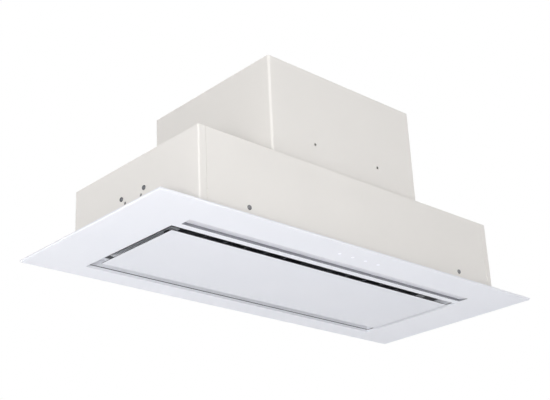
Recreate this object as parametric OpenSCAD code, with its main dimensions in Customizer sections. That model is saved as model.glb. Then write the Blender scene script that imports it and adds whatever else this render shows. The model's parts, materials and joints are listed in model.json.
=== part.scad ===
// Built-in range hood: a white frame plate with a hinged suction panel below,
// a sheet-metal body above it and a motor box with the blower on top.
// X runs along the hood, the front faces -Y, and Z = 0 is the visible underside.

/* [Frame plate] */
// Length of the visible frame plate
plate_w = 900; // [880:1:1000]
// Depth of the visible frame plate
plate_d = 380; // [370:1:440]
// Sheet thickness of the plate
plate_t = 1.2; // [0.8:0.1:2]
// Height of the folded outer rim
rim_h = 4; // [3:0.5:8]
// Width of the rim's folded return
rim_return = 10; // [6:1:16]

/* [Suction opening] */
// Width of the plate beside each end of the opening
opening_side = 100; // [97:1:120]
// Distance from the plate's front edge to the opening
opening_front = 102.4; // [98:0.2:106]
// Width of the plate behind the opening
opening_rear = 43.6; // [38:0.2:54]
// Height of the folded lip round the opening
lip_h = 5.2; // [4:0.2:8]
// Height of the dark edge seal on the lip
seal_h = 1.4; // [0.8:0.1:2.4]
// Height of the tray deck that carries the filters
deck_z = 22; // [21:0.5:30]
// Sheet thickness of the tray
tray_t = 1; // [0.8:0.1:1.5]

/* [Body] */
// Setback of the body's ends from the plate's ends
body_side = 90; // [70:1:93]
// Setback of the body's front face from the plate's front edge
body_front = 21; // [19:0.5:24]
// Setback of the body's rear face from the plate's rear edge
body_rear = 22.4; // [15:0.2:29]
// Height of the body's top face
body_top = 141; // [125:1:200]
// Sheet thickness of the body and the motor box
skin = 1.2; // [0.8:0.1:1.6]
// Outer radius of the body's vertical bends
body_bend = 3; // [2:0.5:5]
// Width of the end panels' corner flanges
corner_flange = 15; // [12:1:25]

/* [Motor box] */
// Length of the motor box
box_w = 366; // [356:1:440]
// Setback of the motor box from the plate's front edge
box_front = 42.2; // [40:0.2:46]
// Setback of the motor box from the plate's rear edge
box_rear = 22.5; // [22.5:0.1:29]
// Outer radius of the motor box's vertical bends
box_bend = 4.5; // [3:0.5:8]

/* [Outlet] */
// Outer diameter of the duct spigot
spigot_d = 149; // [148:0.5:152]
// Height of the spigot above the motor box
spigot_h = 30; // [24:1:60]
// Wall of the spigot
spigot_wall = 1.5; // [1.2:0.1:2]
// Thickness of a damper flap
flap_t = 1.5; // [1:0.1:2]

/* [Blower] */
// Outer diameter of the impeller
impeller_d = 144; // [130:1:146]
// Gap between each end of the impeller and the outside of the scroll housing
impeller_gap = 10; // [9:0.5:16]
// Number of impeller blades
blade_count = 36; // [24:1:44]
// Outer width of the scroll housing
scroll_w = 130; // [124:1:140]
// Clearance above and below the scroll housing, which sets the motor box's height
scroll_room = 5.5; // [4:0.5:20]
// Wall of the scroll housing
scroll_wall = 2; // [1.5:0.5:3]
// Diameter of the motor
motor_d = 84; // [60:1:90]
// Diameter of the motor shaft
shaft_d = 8; // [6:1:10]

/* [Suction panel] */
// Gap between the opening's front edge and the panel
panel_gap = 15; // [14:0.5:20]
// Gap between each end of the opening and the panel
panel_side_gap = 12.5; // [12:0.5:30]
// Gap between the panel and the opening's rear edge, where the hinges are
panel_rear_gap = 28.3; // [27:0.1:32]
// Sheet thickness of the panel
panel_t = 1.2; // [0.8:0.1:1.6]
// Diameter of the panel's hinge pins
hinge_pin_d = 4; // [3:0.5:5]
// Distance from the panel's ends to the middle of each hinge
hinge_inset = 97.5; // [68:0.5:137]

/* [Filters] */
// Distance from the opening's ends to the filters
filter_side = 55.7; // [55:0.1:69]
// Width of the ledge under each filter's rear edge
filter_seat = 3.6; // [2:0.1:4]
// Thickness of one grease filter
filter_t = 9; // [8:0.5:12]
// Travel of a filter latch
latch_travel = 6.5; // [4:0.5:6.5]

/* [Light] */
// Distance from the plate's ends to the light slot
light_side = 108.5; // [105:0.5:150]
// Depth of the light slot
light_d = 21.5; // [20:0.5:22]
// Distance from the plate's front edge to the light slot
light_front = 67.5; // [64:0.5:69]
// Rise of the sloping light cover from front to back
light_rise = 3.9; // [2:0.1:5]
// Number of light diodes
led_count = 34; // [20:1:40]

/* [Touch keys] */
// Number of touch keys
key_count = 4; // [3:1:7]
// Distance between touch keys
key_pitch = 32; // [28:1:36]
// Offset of the row of touch keys from the plate's middle
key_offset = 5; // [-10:1:10]
// Diameter of a touch key's light window
key_d = 6; // [4:0.5:8]
// Distance from the plate's front edge to the touch keys
key_front = 38; // [36:1:41]

/* [Screws] */
// Head diameter of the large body screws
screw_head_d = 8.4; // [7:0.2:9]
// Shank diameter of the large body screws
screw_d = 4; // [3:0.5:5]
// Diameter of the small fixing holes in the end panels
side_hole_d = 5.2; // [3:0.1:6]
// Distance between the small fixing holes
side_hole_pitch = 43; // [36:1:50]
// Distance between the large end screws
side_screw_pitch = 61; // [56:1:76]
// Height of the large end screws
side_screw_z = 81; // [70:1:90]
// Distance between the fixing holes in the motor box's front
box_hole_pitch = 160; // [120:1:240]
// Diameter of the fixing holes in the motor box's front
box_hole_d = 5.2; // [3:0.1:6]
// Height of the fixing holes in the motor box's front
box_hole_z = 195; // [180:1:230]

/* [Hidden] */
$fn = 48;

clear = 0.3; // seat clearance between neighbours
fit = 0.05; // running clearance on a radius
eps = 0.01; // overshoot of a cut through a face
cutter = 20; // length of a drill or punch through a sheet
hole_gap = 0.2; // clearance of a screw in its hole

plate_x = plate_w / 2;
plate_y = plate_d / 2;
open_x = plate_x - opening_side;
open_y0 = -plate_y + opening_front;
open_y1 = plate_y - opening_rear;
tray_x = open_x + plate_t;
tray_y0 = open_y0 - plate_t;
tray_y1 = open_y1 + plate_t;
ledge = 6; // width of the tray's filter ledges
tray_upstand = 13; // height of the tray's flanges above its deck

body_x = plate_x - body_side;
body_y0 = -plate_y + body_front;
body_y1 = plate_y - body_rear;
in_x = body_x - skin;
in_y0 = body_y0 + skin;
in_y1 = body_y1 - skin;
seam_x = body_x - corner_flange;
seam = 0.6; // width of the seam beside each corner flange
tab_w = 11; // width of the tabs behind the corner flanges
notch_z = deck_z; // foot of the relief notch in the seam
notch_h = 14;
notch_w = 3.4;
tuck = 2; // how far a flange stays below the sheet it backs
top_flange = 12; // height of the flanges under the top panels
panel_foot = 9; // width of the foot flanges on the front and rear panels
end_foot_inset = 12; // from the body's inner corners to the end panels' feet

box_x = box_w / 2;
box_y0 = -plate_y + box_front;
box_y1 = plate_y - box_rear;
box_in_x = box_x - skin;
box_in_y0 = box_y0 + skin;
box_in_y1 = box_y1 - skin;
box_mid_y = (box_y0 + box_y1) / 2;
box_foot = 13; // width of the motor box's foot flanges
air_margin = box_foot + 5; // from the motor box's skin to the air opening

impeller_r = impeller_d / 2;
impeller_w = scroll_w - 2 * impeller_gap;
scroll_r0 = impeller_r + 8; // radius of the scroll's narrowest quarter
scroll_step = 7; // how much each next quarter of the scroll grows
scroll_half = scroll_step / 2;
scroll_rise = scroll_half + scroll_r0; // from the shaft to the scroll's highest point
scroll_drop = scroll_rise + 2 * scroll_step; // from the shaft to its lowest point
scroll_far = scroll_rise + 3 * scroll_step; // from the shaft to its rearmost point
scroll_flange_t = 2.8;
outlet_d = 120; // depth of the scroll's outlet
fan_y = box_mid_y + outlet_d / 2 - scroll_far;
fan_z = body_top + scroll_room + scroll_drop;
scroll_top = fan_z + scroll_rise + scroll_room;
box_in_top = scroll_top + scroll_flange_t;
box_top = box_in_top + skin;

spigot_r = spigot_d / 2;
spigot_in = spigot_r - spigot_wall;
collar_flange_t = 2;
collar_flange_r = spigot_r + 15;
collar_screw_r = spigot_r + 8.5;
collar_z = box_top + collar_flange_t;
stop_w = 3; // width of the ledge that the flaps rest on
stop_h = 2;
flap_z = box_top + 13;
flap_r = spigot_in - 2;
flap_pin_r = 1.5;
flap_eye_r = 3;
flap_reach = spigot_in - 7; // from the damper's middle to the outer ends of the hinge eyes
flap_eyes = [-flap_reach, -36, -34, 4, 5, 35, 36, flap_reach]; // ends of the hinge eyes along the pin
flap_gap = 0.5; // from a flap's inner edge to the other flap's eyes

inlet_r = impeller_r - 13;
inlet_lip = 2.5; // how far the rolled inlet edge stands out of the scroll
inlet_collar = 3; // width of the rolled edge round the inlet
scroll_flange_x = collar_screw_r + 6;
ring_h = 2;
blade_l = 12;
blade_t = 1;
blade_tilt = 32;
hub_r = 12; // radius and half length of the impeller's hub
disc_t = 2; // thickness of the impeller's middle disc
shaft_r = shaft_d / 2;
motor_r = motor_d / 2;
motor_x0 = hub_r + 2;
motor_x1 = scroll_w / 2 + inlet_lip;
motor_cap = 12; // depth of the narrower end of the motor
motor_step = 8; // how much narrower the motor's ends are
motor_nose = 4; // length of the narrower end inside the impeller
motor_band_z = 14; // where the motor's clamp band starts
motor_band_w = 8;
motor_band_t = 3;
shaft_start = 20; // how far the shaft reaches past the impeller's middle
bracket_t = 2.5;
bracket_arm = 12; // width of a bracket arm
bracket_r = inlet_r + 9;
bearing_boss_r = shaft_r + 3;

panel_x = open_x - panel_side_gap;
panel_y0 = open_y0 + panel_gap;
panel_y1 = open_y1 - panel_rear_gap;
hinge_x = panel_x - hinge_inset;
carrier_x = panel_x - 52.5;
carrier_y0 = panel_y0 + 28;
carrier_y1 = panel_y1 - 24;
carrier_h = 9;
carrier_t = 1;
carrier_flange = 8;
pivot_y = panel_y1 + 3;
pivot_z = 9;
hinge_pin_r = hinge_pin_d / 2;
hinge_eye_r = hinge_pin_r + 2.2;
arm_w = 12;
ear_gap = 0.5;
ear_t = 2;
ear_x = arm_w / 2 + ear_gap;

filter_y0 = open_y0 + ledge + 2.6;
filter_y1 = open_y1 - ledge + filter_seat;
filter_x0 = 0.8; // half of the gap between the two filters
filter_w = open_x - filter_side - filter_x0;
filter_rim = 12;
filter_mid = filter_x0 + filter_w / 2;
mesh_z = deck_z + 2;
mesh_t = 5;
latch_w = 24;
latch_floor = 1.2;
latch_z = deck_z + latch_floor + 0.1;
latch_h = 2.5;
latch_y0 = filter_y0 - 7;
latch_y1 = filter_y0 + 15;
pull_w = 15;
pull_y = filter_y0 + 9;
pull_t = 2;
pull_drop = 6.5;
baffle_x0 = filter_x0 + filter_w + 0.5;
baffle_x1 = tray_x + 5;
baffle_t = 1;
rail_x0 = baffle_x0 + 1;
rail_x1 = rail_x0 + 18;
rail_y0 = panel_y0 + 32;
rail_y1 = panel_y1 + 7;
rail_t = 1.5;
rail_z = deck_z - rail_t;
magnet_x0 = rail_x0 + 2;
magnet_x1 = rail_x1 - 2;
magnet_y = rail_y0 + 16;
magnet_d = 12;
magnet_h = 8;
magnet_z = rail_z - magnet_h;

light_x = plate_x - light_side;
light_y0 = -plate_y + light_front;
light_y1 = light_y0 + light_d;
light_h = 12;
light_wall = 1;
light_foot = 6;
light_cover_t = 2;
light_lift = 0.3; // the cover's front edge sits this far above the underside
light_board_d = 8;
light_board_end = 12; // from the board's ends to the profile's walls
light_board_t = 1.6;
led_s = 3;
led_h = 0.8;

key_y = -plate_y + key_front;
key_r = key_d / 2;
key_bar_d = 12;
key_bar_h = 3;

screw_r = screw_d / 2;
screw_head_r = screw_head_d / 2;
screw_head_h = 2.4;
front_screw_x = body_x - 100;
body_screw_l = 10; // lengths of the body's, the top's and the box's screws
collar_screw_l = 9;
box_screw_l = 7;
box_screw_x = 60;
box_screw_inset = 40;
front_screw_z = deck_z + 3;
small_r = 1.5;
small_head_r = 3;
small_head_h = 1.6;
nut_plate_t = 3;
nut_plate_w = side_screw_pitch + 20;
nut_plate_h = 30;
side_hole_z = side_screw_z - 9.5;

box_screw_spots = [
    for (x = [-box_in_x + box_foot / 2, box_in_x - box_foot / 2])
        for (y = [box_in_y0 + box_screw_inset, box_in_y1 - box_screw_inset]) [x, y],
    for (x = [-box_screw_x, box_screw_x])
        for (y = [box_in_y0 + box_foot / 2, box_in_y1 - box_foot / 2]) [x, y]];
collar_angles = [0, 90, 180, 270];
bracket_turns = [90, 210, 330];

cbox_w = 145; // length, height and depth of the control box
cbox_h = 90;
cbox_d = 46;
cbox_x1 = box_in_x;
cbox_x0 = cbox_x1 - cbox_d;
cbox_y1 = box_in_y1 - 41.45;
cbox_y0 = cbox_y1 - cbox_w;
cbox_z0 = body_top + 50;
cbox_z1 = cbox_z0 + cbox_h;
cbox_t = 2;
cbox_inlet = 18; // from the control box's corner to the light lead's hole
cbox_outlet = 30; // from its corner to the motor lead's hole
board_standoff = 8;
board_x = cbox_x1 - cbox_t - board_standoff;
board_t = 1.6;
gland_x = box_in_x - 34;
gland_y = cbox_y1 - 6.55;
gland_r = 8;
gland_bore = 4.5;
cap_x = -box_in_x + 17;
cap_y = box_in_y1 - 60;
cap_r = 14;
cap_z0 = body_top + 60;
cap_z1 = cap_z0 + 58;
driver_w = 110; // length, depth and height of the light driver
driver_d = 26;
driver_h = 16;
driver_x1 = body_x - 30;
driver_x0 = driver_x1 - driver_w;
driver_y0 = in_y0 + panel_foot + 0.5;
driver_y1 = driver_y0 + driver_d;
driver_exit = 12; // from the driver's corner to its lead
lead_r = 2.5;
lead_gap = 0.8; // clearance of a lead in a hole
lead_sides = 8;
lead_steps = 5;
motor_lead_y = 30; // where the motor lead enters the motor, from the shaft
motor_lead_z = 23;
lead_side = [0.4, 0.9, 0.17]; // direction that no lead follows

// Box between two corners
module block(a, b) {
    translate(a) cube([b[0] - a[0], b[1] - a[1], b[2] - a[2]]);
}

// Plain cylinder from height z0 to z1
module post(x, y, z0, z1, r) {
    translate([x, y, z0]) cylinder(r = r, h = z1 - z0);
}

// Flat rectangle between two corners with round corners
module round_rect(a, b, r) {
    translate([a[0] + r, a[1]]) square([b[0] - a[0] - 2 * r, b[1] - a[1]]);
    translate([a[0], a[1] + r]) square([b[0] - a[0], b[1] - a[1] - 2 * r]);
    for (x = [a[0] + r, b[0] - r])
        for (y = [a[1] + r, b[1] - r])
            translate([x, y]) circle(r = r);
}

// Plan of a bent sheet that runs all the way round a box
module sheet_ring(a, b, r, t) {
    difference() {
        round_rect(a, b, r);
        round_rect([a[0] + t, a[1] + t], [b[0] - t, b[1] - t], r - t);
    }
}

// Pan-head screw that points along -Z, with its head on z = 0
module pan_screw(r, head_r, head_h, length) {
    difference() {
        cylinder(r = head_r, h = head_h);
        for (turn = [0, 90])
            rotate(turn) translate([-head_r * 0.6, -head_r * 0.11, head_h * 0.55])
                cube([head_r * 1.2, head_r * 0.22, head_h]);
    }
    translate([0, 0, -length]) cylinder(r = r, h = length + eps);
}

// Mirrors what it holds to the other side of X = 0
module both_sides() {
    children();
    mirror([1, 0, 0]) children();
}

// Extrudes a plan of Y and Z along X
module along_x(x0, x1) {
    translate([x0, 0, 0]) rotate([90, 0, 90]) linear_extrude(x1 - x0) children();
}

// Direction of a route at point i
function heading(p, i) = let (d = p[min(i + 1, len(p) - 1)] - p[max(i - 1, 0)]) d / norm(d);

// Point at share u of a smooth curve from b to c, with a and d as the points beyond them
function curve(a, b, c, d, u) = 0.5 * (2 * b + (c - a) * u
    + (2 * a - 5 * b + 4 * c - d) * u * u + (3 * b - a - 3 * c + d) * u * u * u);

// Route with lead_steps points on each stretch between the given points
function smooth(p) = concat([for (i = [0 : len(p) - 2])
    for (j = [0 : lead_steps - 1])
        curve(p[max(i - 1, 0)], p[i], p[i + 1], p[min(i + 2, len(p) - 1)], j / lead_steps)],
    [p[len(p) - 1]]);

// Ring of points round a route at point i
function lead_ring(p, i, r) = let (t = heading(p, i), side = cross(t, lead_side),
    u = side / norm(side), v = cross(t, u)) [for (k = [0 : lead_sides - 1])
    p[i] + r * (cos(360 / lead_sides * k) * u + sin(360 / lead_sides * k) * v)];

// Round lead along a route
module lead(points, r) {
    p = smooth(points);
    n = len(p);
    polyhedron(points = [for (i = [0 : n - 1]) each lead_ring(p, i, r)],
        faces = concat([[for (k = [0 : lead_sides - 1]) lead_sides - 1 - k]],
            [for (i = [0 : n - 2]) for (k = [0 : lead_sides - 1]) let (m = (k + 1) % lead_sides)
                [i * lead_sides + k, i * lead_sides + m,
                    (i + 1) * lead_sides + m, (i + 1) * lead_sides + k]],
            [[for (k = [0 : lead_sides - 1]) (n - 1) * lead_sides + k]]));
}

module frame_plate() {
    color("white") difference() {
        union() {
            block([-plate_x, -plate_y, 0], [plate_x, plate_y, plate_t]);
            difference() {
                block([-plate_x, -plate_y, 0], [plate_x, plate_y, rim_h]);
                block([-plate_x + plate_t, -plate_y + plate_t, -1],
                    [plate_x - plate_t, plate_y - plate_t, rim_h + 1]);
            }
            difference() {
                block([-plate_x, -plate_y, rim_h - plate_t], [plate_x, plate_y, rim_h]);
                block([-plate_x + rim_return, -plate_y + rim_return, -1],
                    [plate_x - rim_return, plate_y - rim_return, rim_h + 1]);
            }
            block([-tray_x, tray_y0, 0], [tray_x, tray_y1, lip_h]);
        }
        block([-open_x, open_y0, -1], [open_x, open_y1, lip_h + 1]);
        block([-light_x, light_y0, -1], [light_x, light_y1, plate_t + 1]);
        for (i = [0 : key_count - 1])
            post(key_at(i), key_y, -1, plate_t + 1, key_r + hole_gap);
    }
}

module lip_seal() {
    color("dimgray") difference() {
        block([-tray_x, tray_y0, lip_h], [tray_x, tray_y1, lip_h + seal_h]);
        block([-open_x, open_y0, 0], [open_x, open_y1, lip_h + seal_h + 1]);
    }
}

module suction_tray() {
    color("whitesmoke") difference() {
        union() {
            difference() {
                block([-tray_x - tray_t, tray_y0 - tray_t, plate_t],
                    [tray_x + tray_t, tray_y1 + tray_t, deck_z]);
                block([-tray_x, tray_y0, 0], [tray_x, tray_y1, deck_z + 1]);
            }
            block([-in_x, in_y0 + skin, deck_z - tray_t], [in_x, in_y1 - skin, deck_z]);
            for (y = [in_y0, in_y1 - tray_t])
                block([-seam_x + tab_w, y, deck_z - tray_t],
                    [seam_x - tab_w, y + tray_t, deck_z + tray_upstand]);
            for (y = [in_y0, in_y1 - skin])
                block([-seam_x + tab_w, y, deck_z - tray_t],
                    [seam_x - tab_w, y + skin, deck_z]);
        }
        block([-tray_x, open_y0 + ledge, 0], [tray_x, open_y1 - ledge, deck_z + 1]);
        for (x = [-front_screw_x, front_screw_x])
            translate([x, 0, front_screw_z]) rotate([90, 0, 0])
                cylinder(r = screw_r + hole_gap, h = 2 * plate_d, center = true);
        post(driver_x1 - driver_exit, driver_y0 + driver_exit, 0, deck_z + 1, lead_r + lead_gap);
    }
}

// One end panel at +X: a web with a corner flange at the front and the rear
module end_panel() {
    difference() {
        union() {
            translate([0, 0, plate_t]) linear_extrude(body_top - plate_t) intersection() {
                sheet_ring([-body_x, body_y0], [body_x, body_y1], body_bend, skin);
                translate([seam_x, body_y0]) square([corner_flange, body_y1 - body_y0]);
            }
            block([tray_x + tray_t + clear, in_y0 + end_foot_inset, plate_t],
                [in_x, in_y1 - end_foot_inset, plate_t + skin]);
        }
        block([seam_x - eps, body_y0 - 1, notch_z],
            [seam_x + notch_w / 2, in_y0 + eps, notch_z + notch_h]);
        for (y = [-side_hole_pitch / 2, side_hole_pitch / 2])
            translate([body_x, y, side_hole_z]) rotate([0, 90, 0])
                cylinder(r = side_hole_d / 2, h = cutter, center = true);
        for (y = [-side_screw_pitch / 2, side_screw_pitch / 2])
            translate([body_x, y, side_screw_z]) rotate([0, 90, 0])
                cylinder(r = screw_r + hole_gap, h = cutter, center = true);
    }
}

module end_panel_left() {
    color("ivory") mirror([1, 0, 0]) end_panel();
}

module end_panel_right() {
    color("ivory") end_panel();
}

// Tabs behind the corner flanges and a foot for a panel whose inner face is at y,
// with dir = 1 towards +Y
module panel_backing(y, dir) {
    y0 = dir > 0 ? y : y - skin;
    for (side = [-1, 1]) {
        x0 = side > 0 ? seam_x - tab_w + 1 : -seam_x - tab_w;
        block([x0, y0, deck_z + clear], [x0 + 2 * tab_w - 1, y0 + skin, body_top - skin - tuck]);
    }
    f0 = dir > 0 ? y : y - panel_foot;
    block([-seam_x + tab_w, f0, plate_t], [seam_x - tab_w, f0 + panel_foot, plate_t + skin]);
}

module body_front_panel() {
    color("ivory") difference() {
        union() {
            block([-seam_x + seam, body_y0, plate_t], [seam_x - seam, in_y0, body_top]);
            panel_backing(in_y0, 1);
        }
        both_sides() block([seam_x - notch_w / 2 - seam, body_y0 - 1, notch_z],
            [seam_x, in_y0 + eps, notch_z + notch_h]);
        for (x = [-front_screw_x, front_screw_x])
            translate([x, body_y0, front_screw_z]) rotate([90, 0, 0])
                cylinder(r = screw_r + hole_gap, h = cutter / 2, center = true);
    }
}

module body_rear_panel() {
    color("ivory") difference() {
        union() {
            block([-seam_x + seam, in_y1, plate_t], [seam_x - seam, body_y1, body_top]);
            panel_backing(in_y1, -1);
        }
        for (x = [-front_screw_x, front_screw_x])
            translate([x, body_y1, front_screw_z]) rotate([90, 0, 0])
                cylinder(r = screw_r + hole_gap, h = cutter / 2, center = true);
    }
}

module body_top_panel() {
    color("ivory") difference() {
        union() {
            translate([0, 0, body_top - skin]) linear_extrude(skin)
                round_rect([-in_x, in_y0], [in_x, in_y1], body_bend);
            for (y = [in_y0, in_y1 - skin])
                block([-seam_x + 2 * tab_w, y, body_top - top_flange],
                    [seam_x - 2 * tab_w, y + skin, body_top - skin]);
        }
        block([-box_x + air_margin, box_y0 + air_margin, 0],
            [box_x - air_margin, box_y1 - air_margin, body_top + 1]);
        for (spot = box_screw_spots)
            post(spot[0], spot[1], body_top - 5, body_top + 5, small_r + hole_gap);
    }
}

// Front and sides of the motor box, bent from one sheet, with foot flanges
module motor_box_shell() {
    color("ivory") difference() {
        union() {
            translate([0, 0, body_top]) linear_extrude(box_top - body_top) intersection() {
                sheet_ring([-box_x, box_y0], [box_x, box_y1 + box_bend], box_bend, skin);
                translate([-box_x, box_y0]) square([box_w, box_in_y1 - box_y0]);
            }
            both_sides() block([box_in_x - box_foot, box_in_y0 + box_foot, body_top],
                [box_in_x, box_in_y1 - box_foot, body_top + skin]);
            block([-box_in_x + box_bend, box_in_y0, body_top],
                [box_in_x - box_bend, box_in_y0 + box_foot, body_top + skin]);
        }
        for (x = [-box_hole_pitch / 2, box_hole_pitch / 2])
            translate([x, box_y0, box_hole_z]) rotate([90, 0, 0])
                cylinder(r = box_hole_d / 2, h = cutter / 2, center = true);
        for (spot = box_screw_spots)
            post(spot[0], spot[1], body_top - 5, body_top + 5, small_r + hole_gap);
    }
}

module motor_box_rear() {
    color("ivory") difference() {
        union() {
            block([-box_x, box_in_y1, body_top], [box_x, box_y1, box_top]);
            both_sides() block([box_in_x - skin, box_in_y1 - 10, body_top + skin + clear],
                [box_in_x, box_in_y1, box_in_top - tuck]);
            block([-box_in_x + box_bend, box_in_y1 - box_foot, body_top],
                [box_in_x - box_bend, box_in_y1, body_top + skin]);
        }
        for (spot = box_screw_spots)
            post(spot[0], spot[1], body_top - 5, body_top + 5, small_r + hole_gap);
    }
}

module motor_box_top() {
    color("ivory") difference() {
        union() {
            translate([0, 0, box_in_top]) linear_extrude(skin)
                round_rect([-box_in_x, box_in_y0], [box_in_x, box_in_y1], box_bend);
            block([-box_in_x + box_foot, box_in_y0, box_top - top_flange],
                [box_in_x - box_foot, box_in_y0 + skin, box_in_top]);
            both_sides() block([box_in_x - skin, box_in_y0 + box_foot, box_top - top_flange],
                [box_in_x, box_in_y1 - box_foot, box_in_top]);
        }
        post(0, box_mid_y, box_top - 20, box_top + 5, spigot_in - stop_w);
        post(gland_x, gland_y, box_top - 5, box_top + 5, gland_r + hole_gap);
        for (turn = collar_angles)
            post(collar_screw_r * cos(turn), box_mid_y + collar_screw_r * sin(turn),
                box_top - 5, box_top + 5, small_r + hole_gap);
    }
}

module outlet_collar() {
    color("whitesmoke") difference() {
        translate([0, box_mid_y, 0]) difference() {
            union() {
                post(0, 0, box_top, collar_z, collar_flange_r);
                post(0, 0, box_top, box_top + spigot_h, spigot_r);
            }
            post(0, 0, flap_z - flap_t / 2 - clear, box_top + spigot_h + 1, spigot_in);
            post(0, 0, box_top - 1, flap_z, spigot_in - stop_w);
            post(0, 0, box_top - 1, flap_z - flap_t / 2 - clear - stop_h, spigot_in);
            translate([0, 0, flap_z]) rotate([0, 90, 0])
                cylinder(r = flap_pin_r, h = 2 * spigot_r + 2, center = true);
            block([-spigot_in, -flap_eye_r - 1, flap_z - flap_eye_r - 1],
                [spigot_in, flap_eye_r + 1, flap_z]);
        }
        for (turn = collar_angles)
            post(collar_screw_r * cos(turn), box_mid_y + collar_screw_r * sin(turn),
                box_top - 5, box_top + 5, small_r + hole_gap);
    }
}

// Half-round flap on the +Y side of the damper pin, with hinge eyes between the given ends
module damper_flap(eyes) {
    edge = flap_eye_r + flap_gap;
    difference() {
        union() {
            difference() {
                post(0, 0, -flap_t / 2, flap_t / 2, flap_r);
                block([-flap_r - 1, -flap_r - 1, -flap_t], [flap_r + 1, edge, flap_t]);
            }
            for (eye = eyes) {
                block([eye[0], 0, -flap_t / 2], [eye[1], edge + 1, flap_t / 2]);
                translate([eye[0], 0, 0]) rotate([0, 90, 0])
                    cylinder(r = flap_eye_r, h = eye[1] - eye[0]);
            }
        }
        rotate([0, 90, 0]) cylinder(r = flap_pin_r + fit, h = 2 * spigot_r, center = true);
    }
}

module damper_flap_front() {
    color("gray") translate([0, box_mid_y, flap_z]) mirror([0, 1, 0])
        damper_flap([[flap_eyes[0], flap_eyes[1]], [flap_eyes[4], flap_eyes[5]]]);
}

module damper_flap_rear() {
    color("gray") translate([0, box_mid_y, flap_z])
        damper_flap([[flap_eyes[2], flap_eyes[3]], [flap_eyes[6], flap_eyes[7]]]);
}

module damper_pin() {
    color("silver") translate([0, box_mid_y, flap_z]) rotate([0, 90, 0])
        cylinder(r = flap_pin_r, h = 2 * spigot_r, center = true);
}

// Quadrant number k of the scroll's plan, grown outwards by the given amount
module scroll_quadrant(k, grow) {
    s = scroll_half;
    centres = [[-s, s], [-s, -s], [s, -s], [s, s]];
    r = scroll_r0 + k * scroll_step + grow;
    translate(centres[k]) intersection() {
        circle(r = r, $fn = 96);
        rotate(90 * k) square([r + 1, r + 1]);
    }
}

// Plan of the scroll seen along +X, centred on the shaft, with its outlet towards +Z
module scroll_plan(grow, top) {
    for (k = [0 : 3])
        scroll_quadrant(k, grow);
    square([2 * scroll_step, 2 * scroll_step], center = true);
    translate([scroll_far - outlet_d - grow, 0]) square([outlet_d + 2 * grow, top]);
}

module scroll_half_shell(side) {
    x1 = side * scroll_w / 2;
    x_low = min(0, x1);
    x_high = max(0, x1);
    flange_y = scroll_flange_x;
    translate([0, fan_y, fan_z]) difference() {
        union() {
            along_x(x_low, x_high) scroll_plan(0, scroll_top - fan_z);
            translate([0, box_mid_y - fan_y, scroll_top - fan_z])
                block([side < 0 ? -scroll_flange_x : 0, -flange_y, 0],
                    [side < 0 ? 0 : scroll_flange_x, flange_y, scroll_flange_t]);
            translate([x1, 0, 0]) rotate([0, 90, 0])
                cylinder(r = inlet_r + inlet_collar, h = 2 * inlet_lip, center = true);
        }
        along_x(side < 0 ? x1 + scroll_wall : -1, side < 0 ? 1 : x1 - scroll_wall)
            scroll_plan(-scroll_wall, scroll_top + 20 - fan_z);
        translate([x1, 0, 0]) rotate([0, 90, 0]) cylinder(r = inlet_r, h = cutter, center = true);
        for (turn = collar_angles)
            translate([collar_screw_r * cos(turn),
                box_mid_y - fan_y + collar_screw_r * sin(turn), scroll_top - fan_z])
                cylinder(r = small_r + hole_gap, h = cutter, center = true);
    }
}

module scroll_left() {
    color("lightgray") scroll_half_shell(-1);
}

module scroll_right() {
    color("lightgray") difference() {
        scroll_half_shell(1);
        for (turn = bracket_turns)
            bracket_hole(turn);
    }
}

// Screw hole at the end of one motor bracket arm
module bracket_hole(turn) {
    translate([motor_x1, fan_y, fan_z]) rotate([turn, 0, 0]) translate([0, bracket_r, 0])
        rotate([0, 90, 0]) cylinder(r = small_r + hole_gap, h = cutter, center = true);
}

module impeller() {
    color("silver") translate([0, fan_y, fan_z]) rotate([0, 90, 0]) difference() {
        union() {
            for (z = [-impeller_w / 2, impeller_w / 2 - ring_h])
                difference() {
                    post(0, 0, z, z + ring_h, impeller_r);
                    post(0, 0, z - 1, z + ring_h + 1, impeller_r - blade_l);
                }
            post(0, 0, -disc_t / 2, disc_t / 2, impeller_r - 1);
            post(0, 0, -hub_r, hub_r, hub_r);
            for (i = [0 : blade_count - 1])
                rotate(360 / blade_count * i) translate([impeller_r - blade_l / 2 - 0.6, 0, 0])
                    rotate(blade_tilt)
                        cube([blade_l, blade_t, impeller_w - ring_h], center = true);
        }
        post(0, 0, -impeller_w, impeller_w, shaft_r);
    }
}

module motor_shaft() {
    color("silver") translate([-shaft_start, fan_y, fan_z]) rotate([0, 90, 0])
        cylinder(r = shaft_r, h = shaft_start + motor_x1 + bracket_t + 1.5);
}

module motor_housing() {
    color("dimgray") translate([motor_x0, fan_y, fan_z]) rotate([0, 90, 0]) difference() {
        union() {
            post(0, 0, motor_nose, motor_x1 - motor_x0 - motor_cap, motor_r);
            post(0, 0, 0, motor_x1 - motor_x0, motor_r - motor_step);
            post(0, 0, motor_band_z, motor_band_z + motor_band_w, motor_r + motor_band_t);
        }
        post(0, 0, -1, motor_x1, shaft_r + fit);
    }
}

module motor_bracket() {
    color("silver") difference() {
        translate([0, fan_y, fan_z]) {
            translate([motor_x1, 0, 0]) rotate([0, 90, 0])
                post(0, 0, 0, bracket_t, motor_r - motor_step - 2);
            for (turn = bracket_turns)
                rotate([turn, 0, 0]) {
                    block([motor_x1, 0, -bracket_arm / 2],
                        [motor_x1 + bracket_t, bracket_r + 6, bracket_arm / 2]);
                    block([scroll_w / 2, bracket_r - 5, -bracket_arm / 2],
                        [motor_x1 + bracket_t, bracket_r + 6, bracket_arm / 2]);
                }
        }
        translate([motor_x1, fan_y, fan_z]) rotate([0, 90, 0])
            post(0, 0, -1, bracket_t + 1, bearing_boss_r);
        for (turn = bracket_turns)
            bracket_hole(turn);
    }
}

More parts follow.
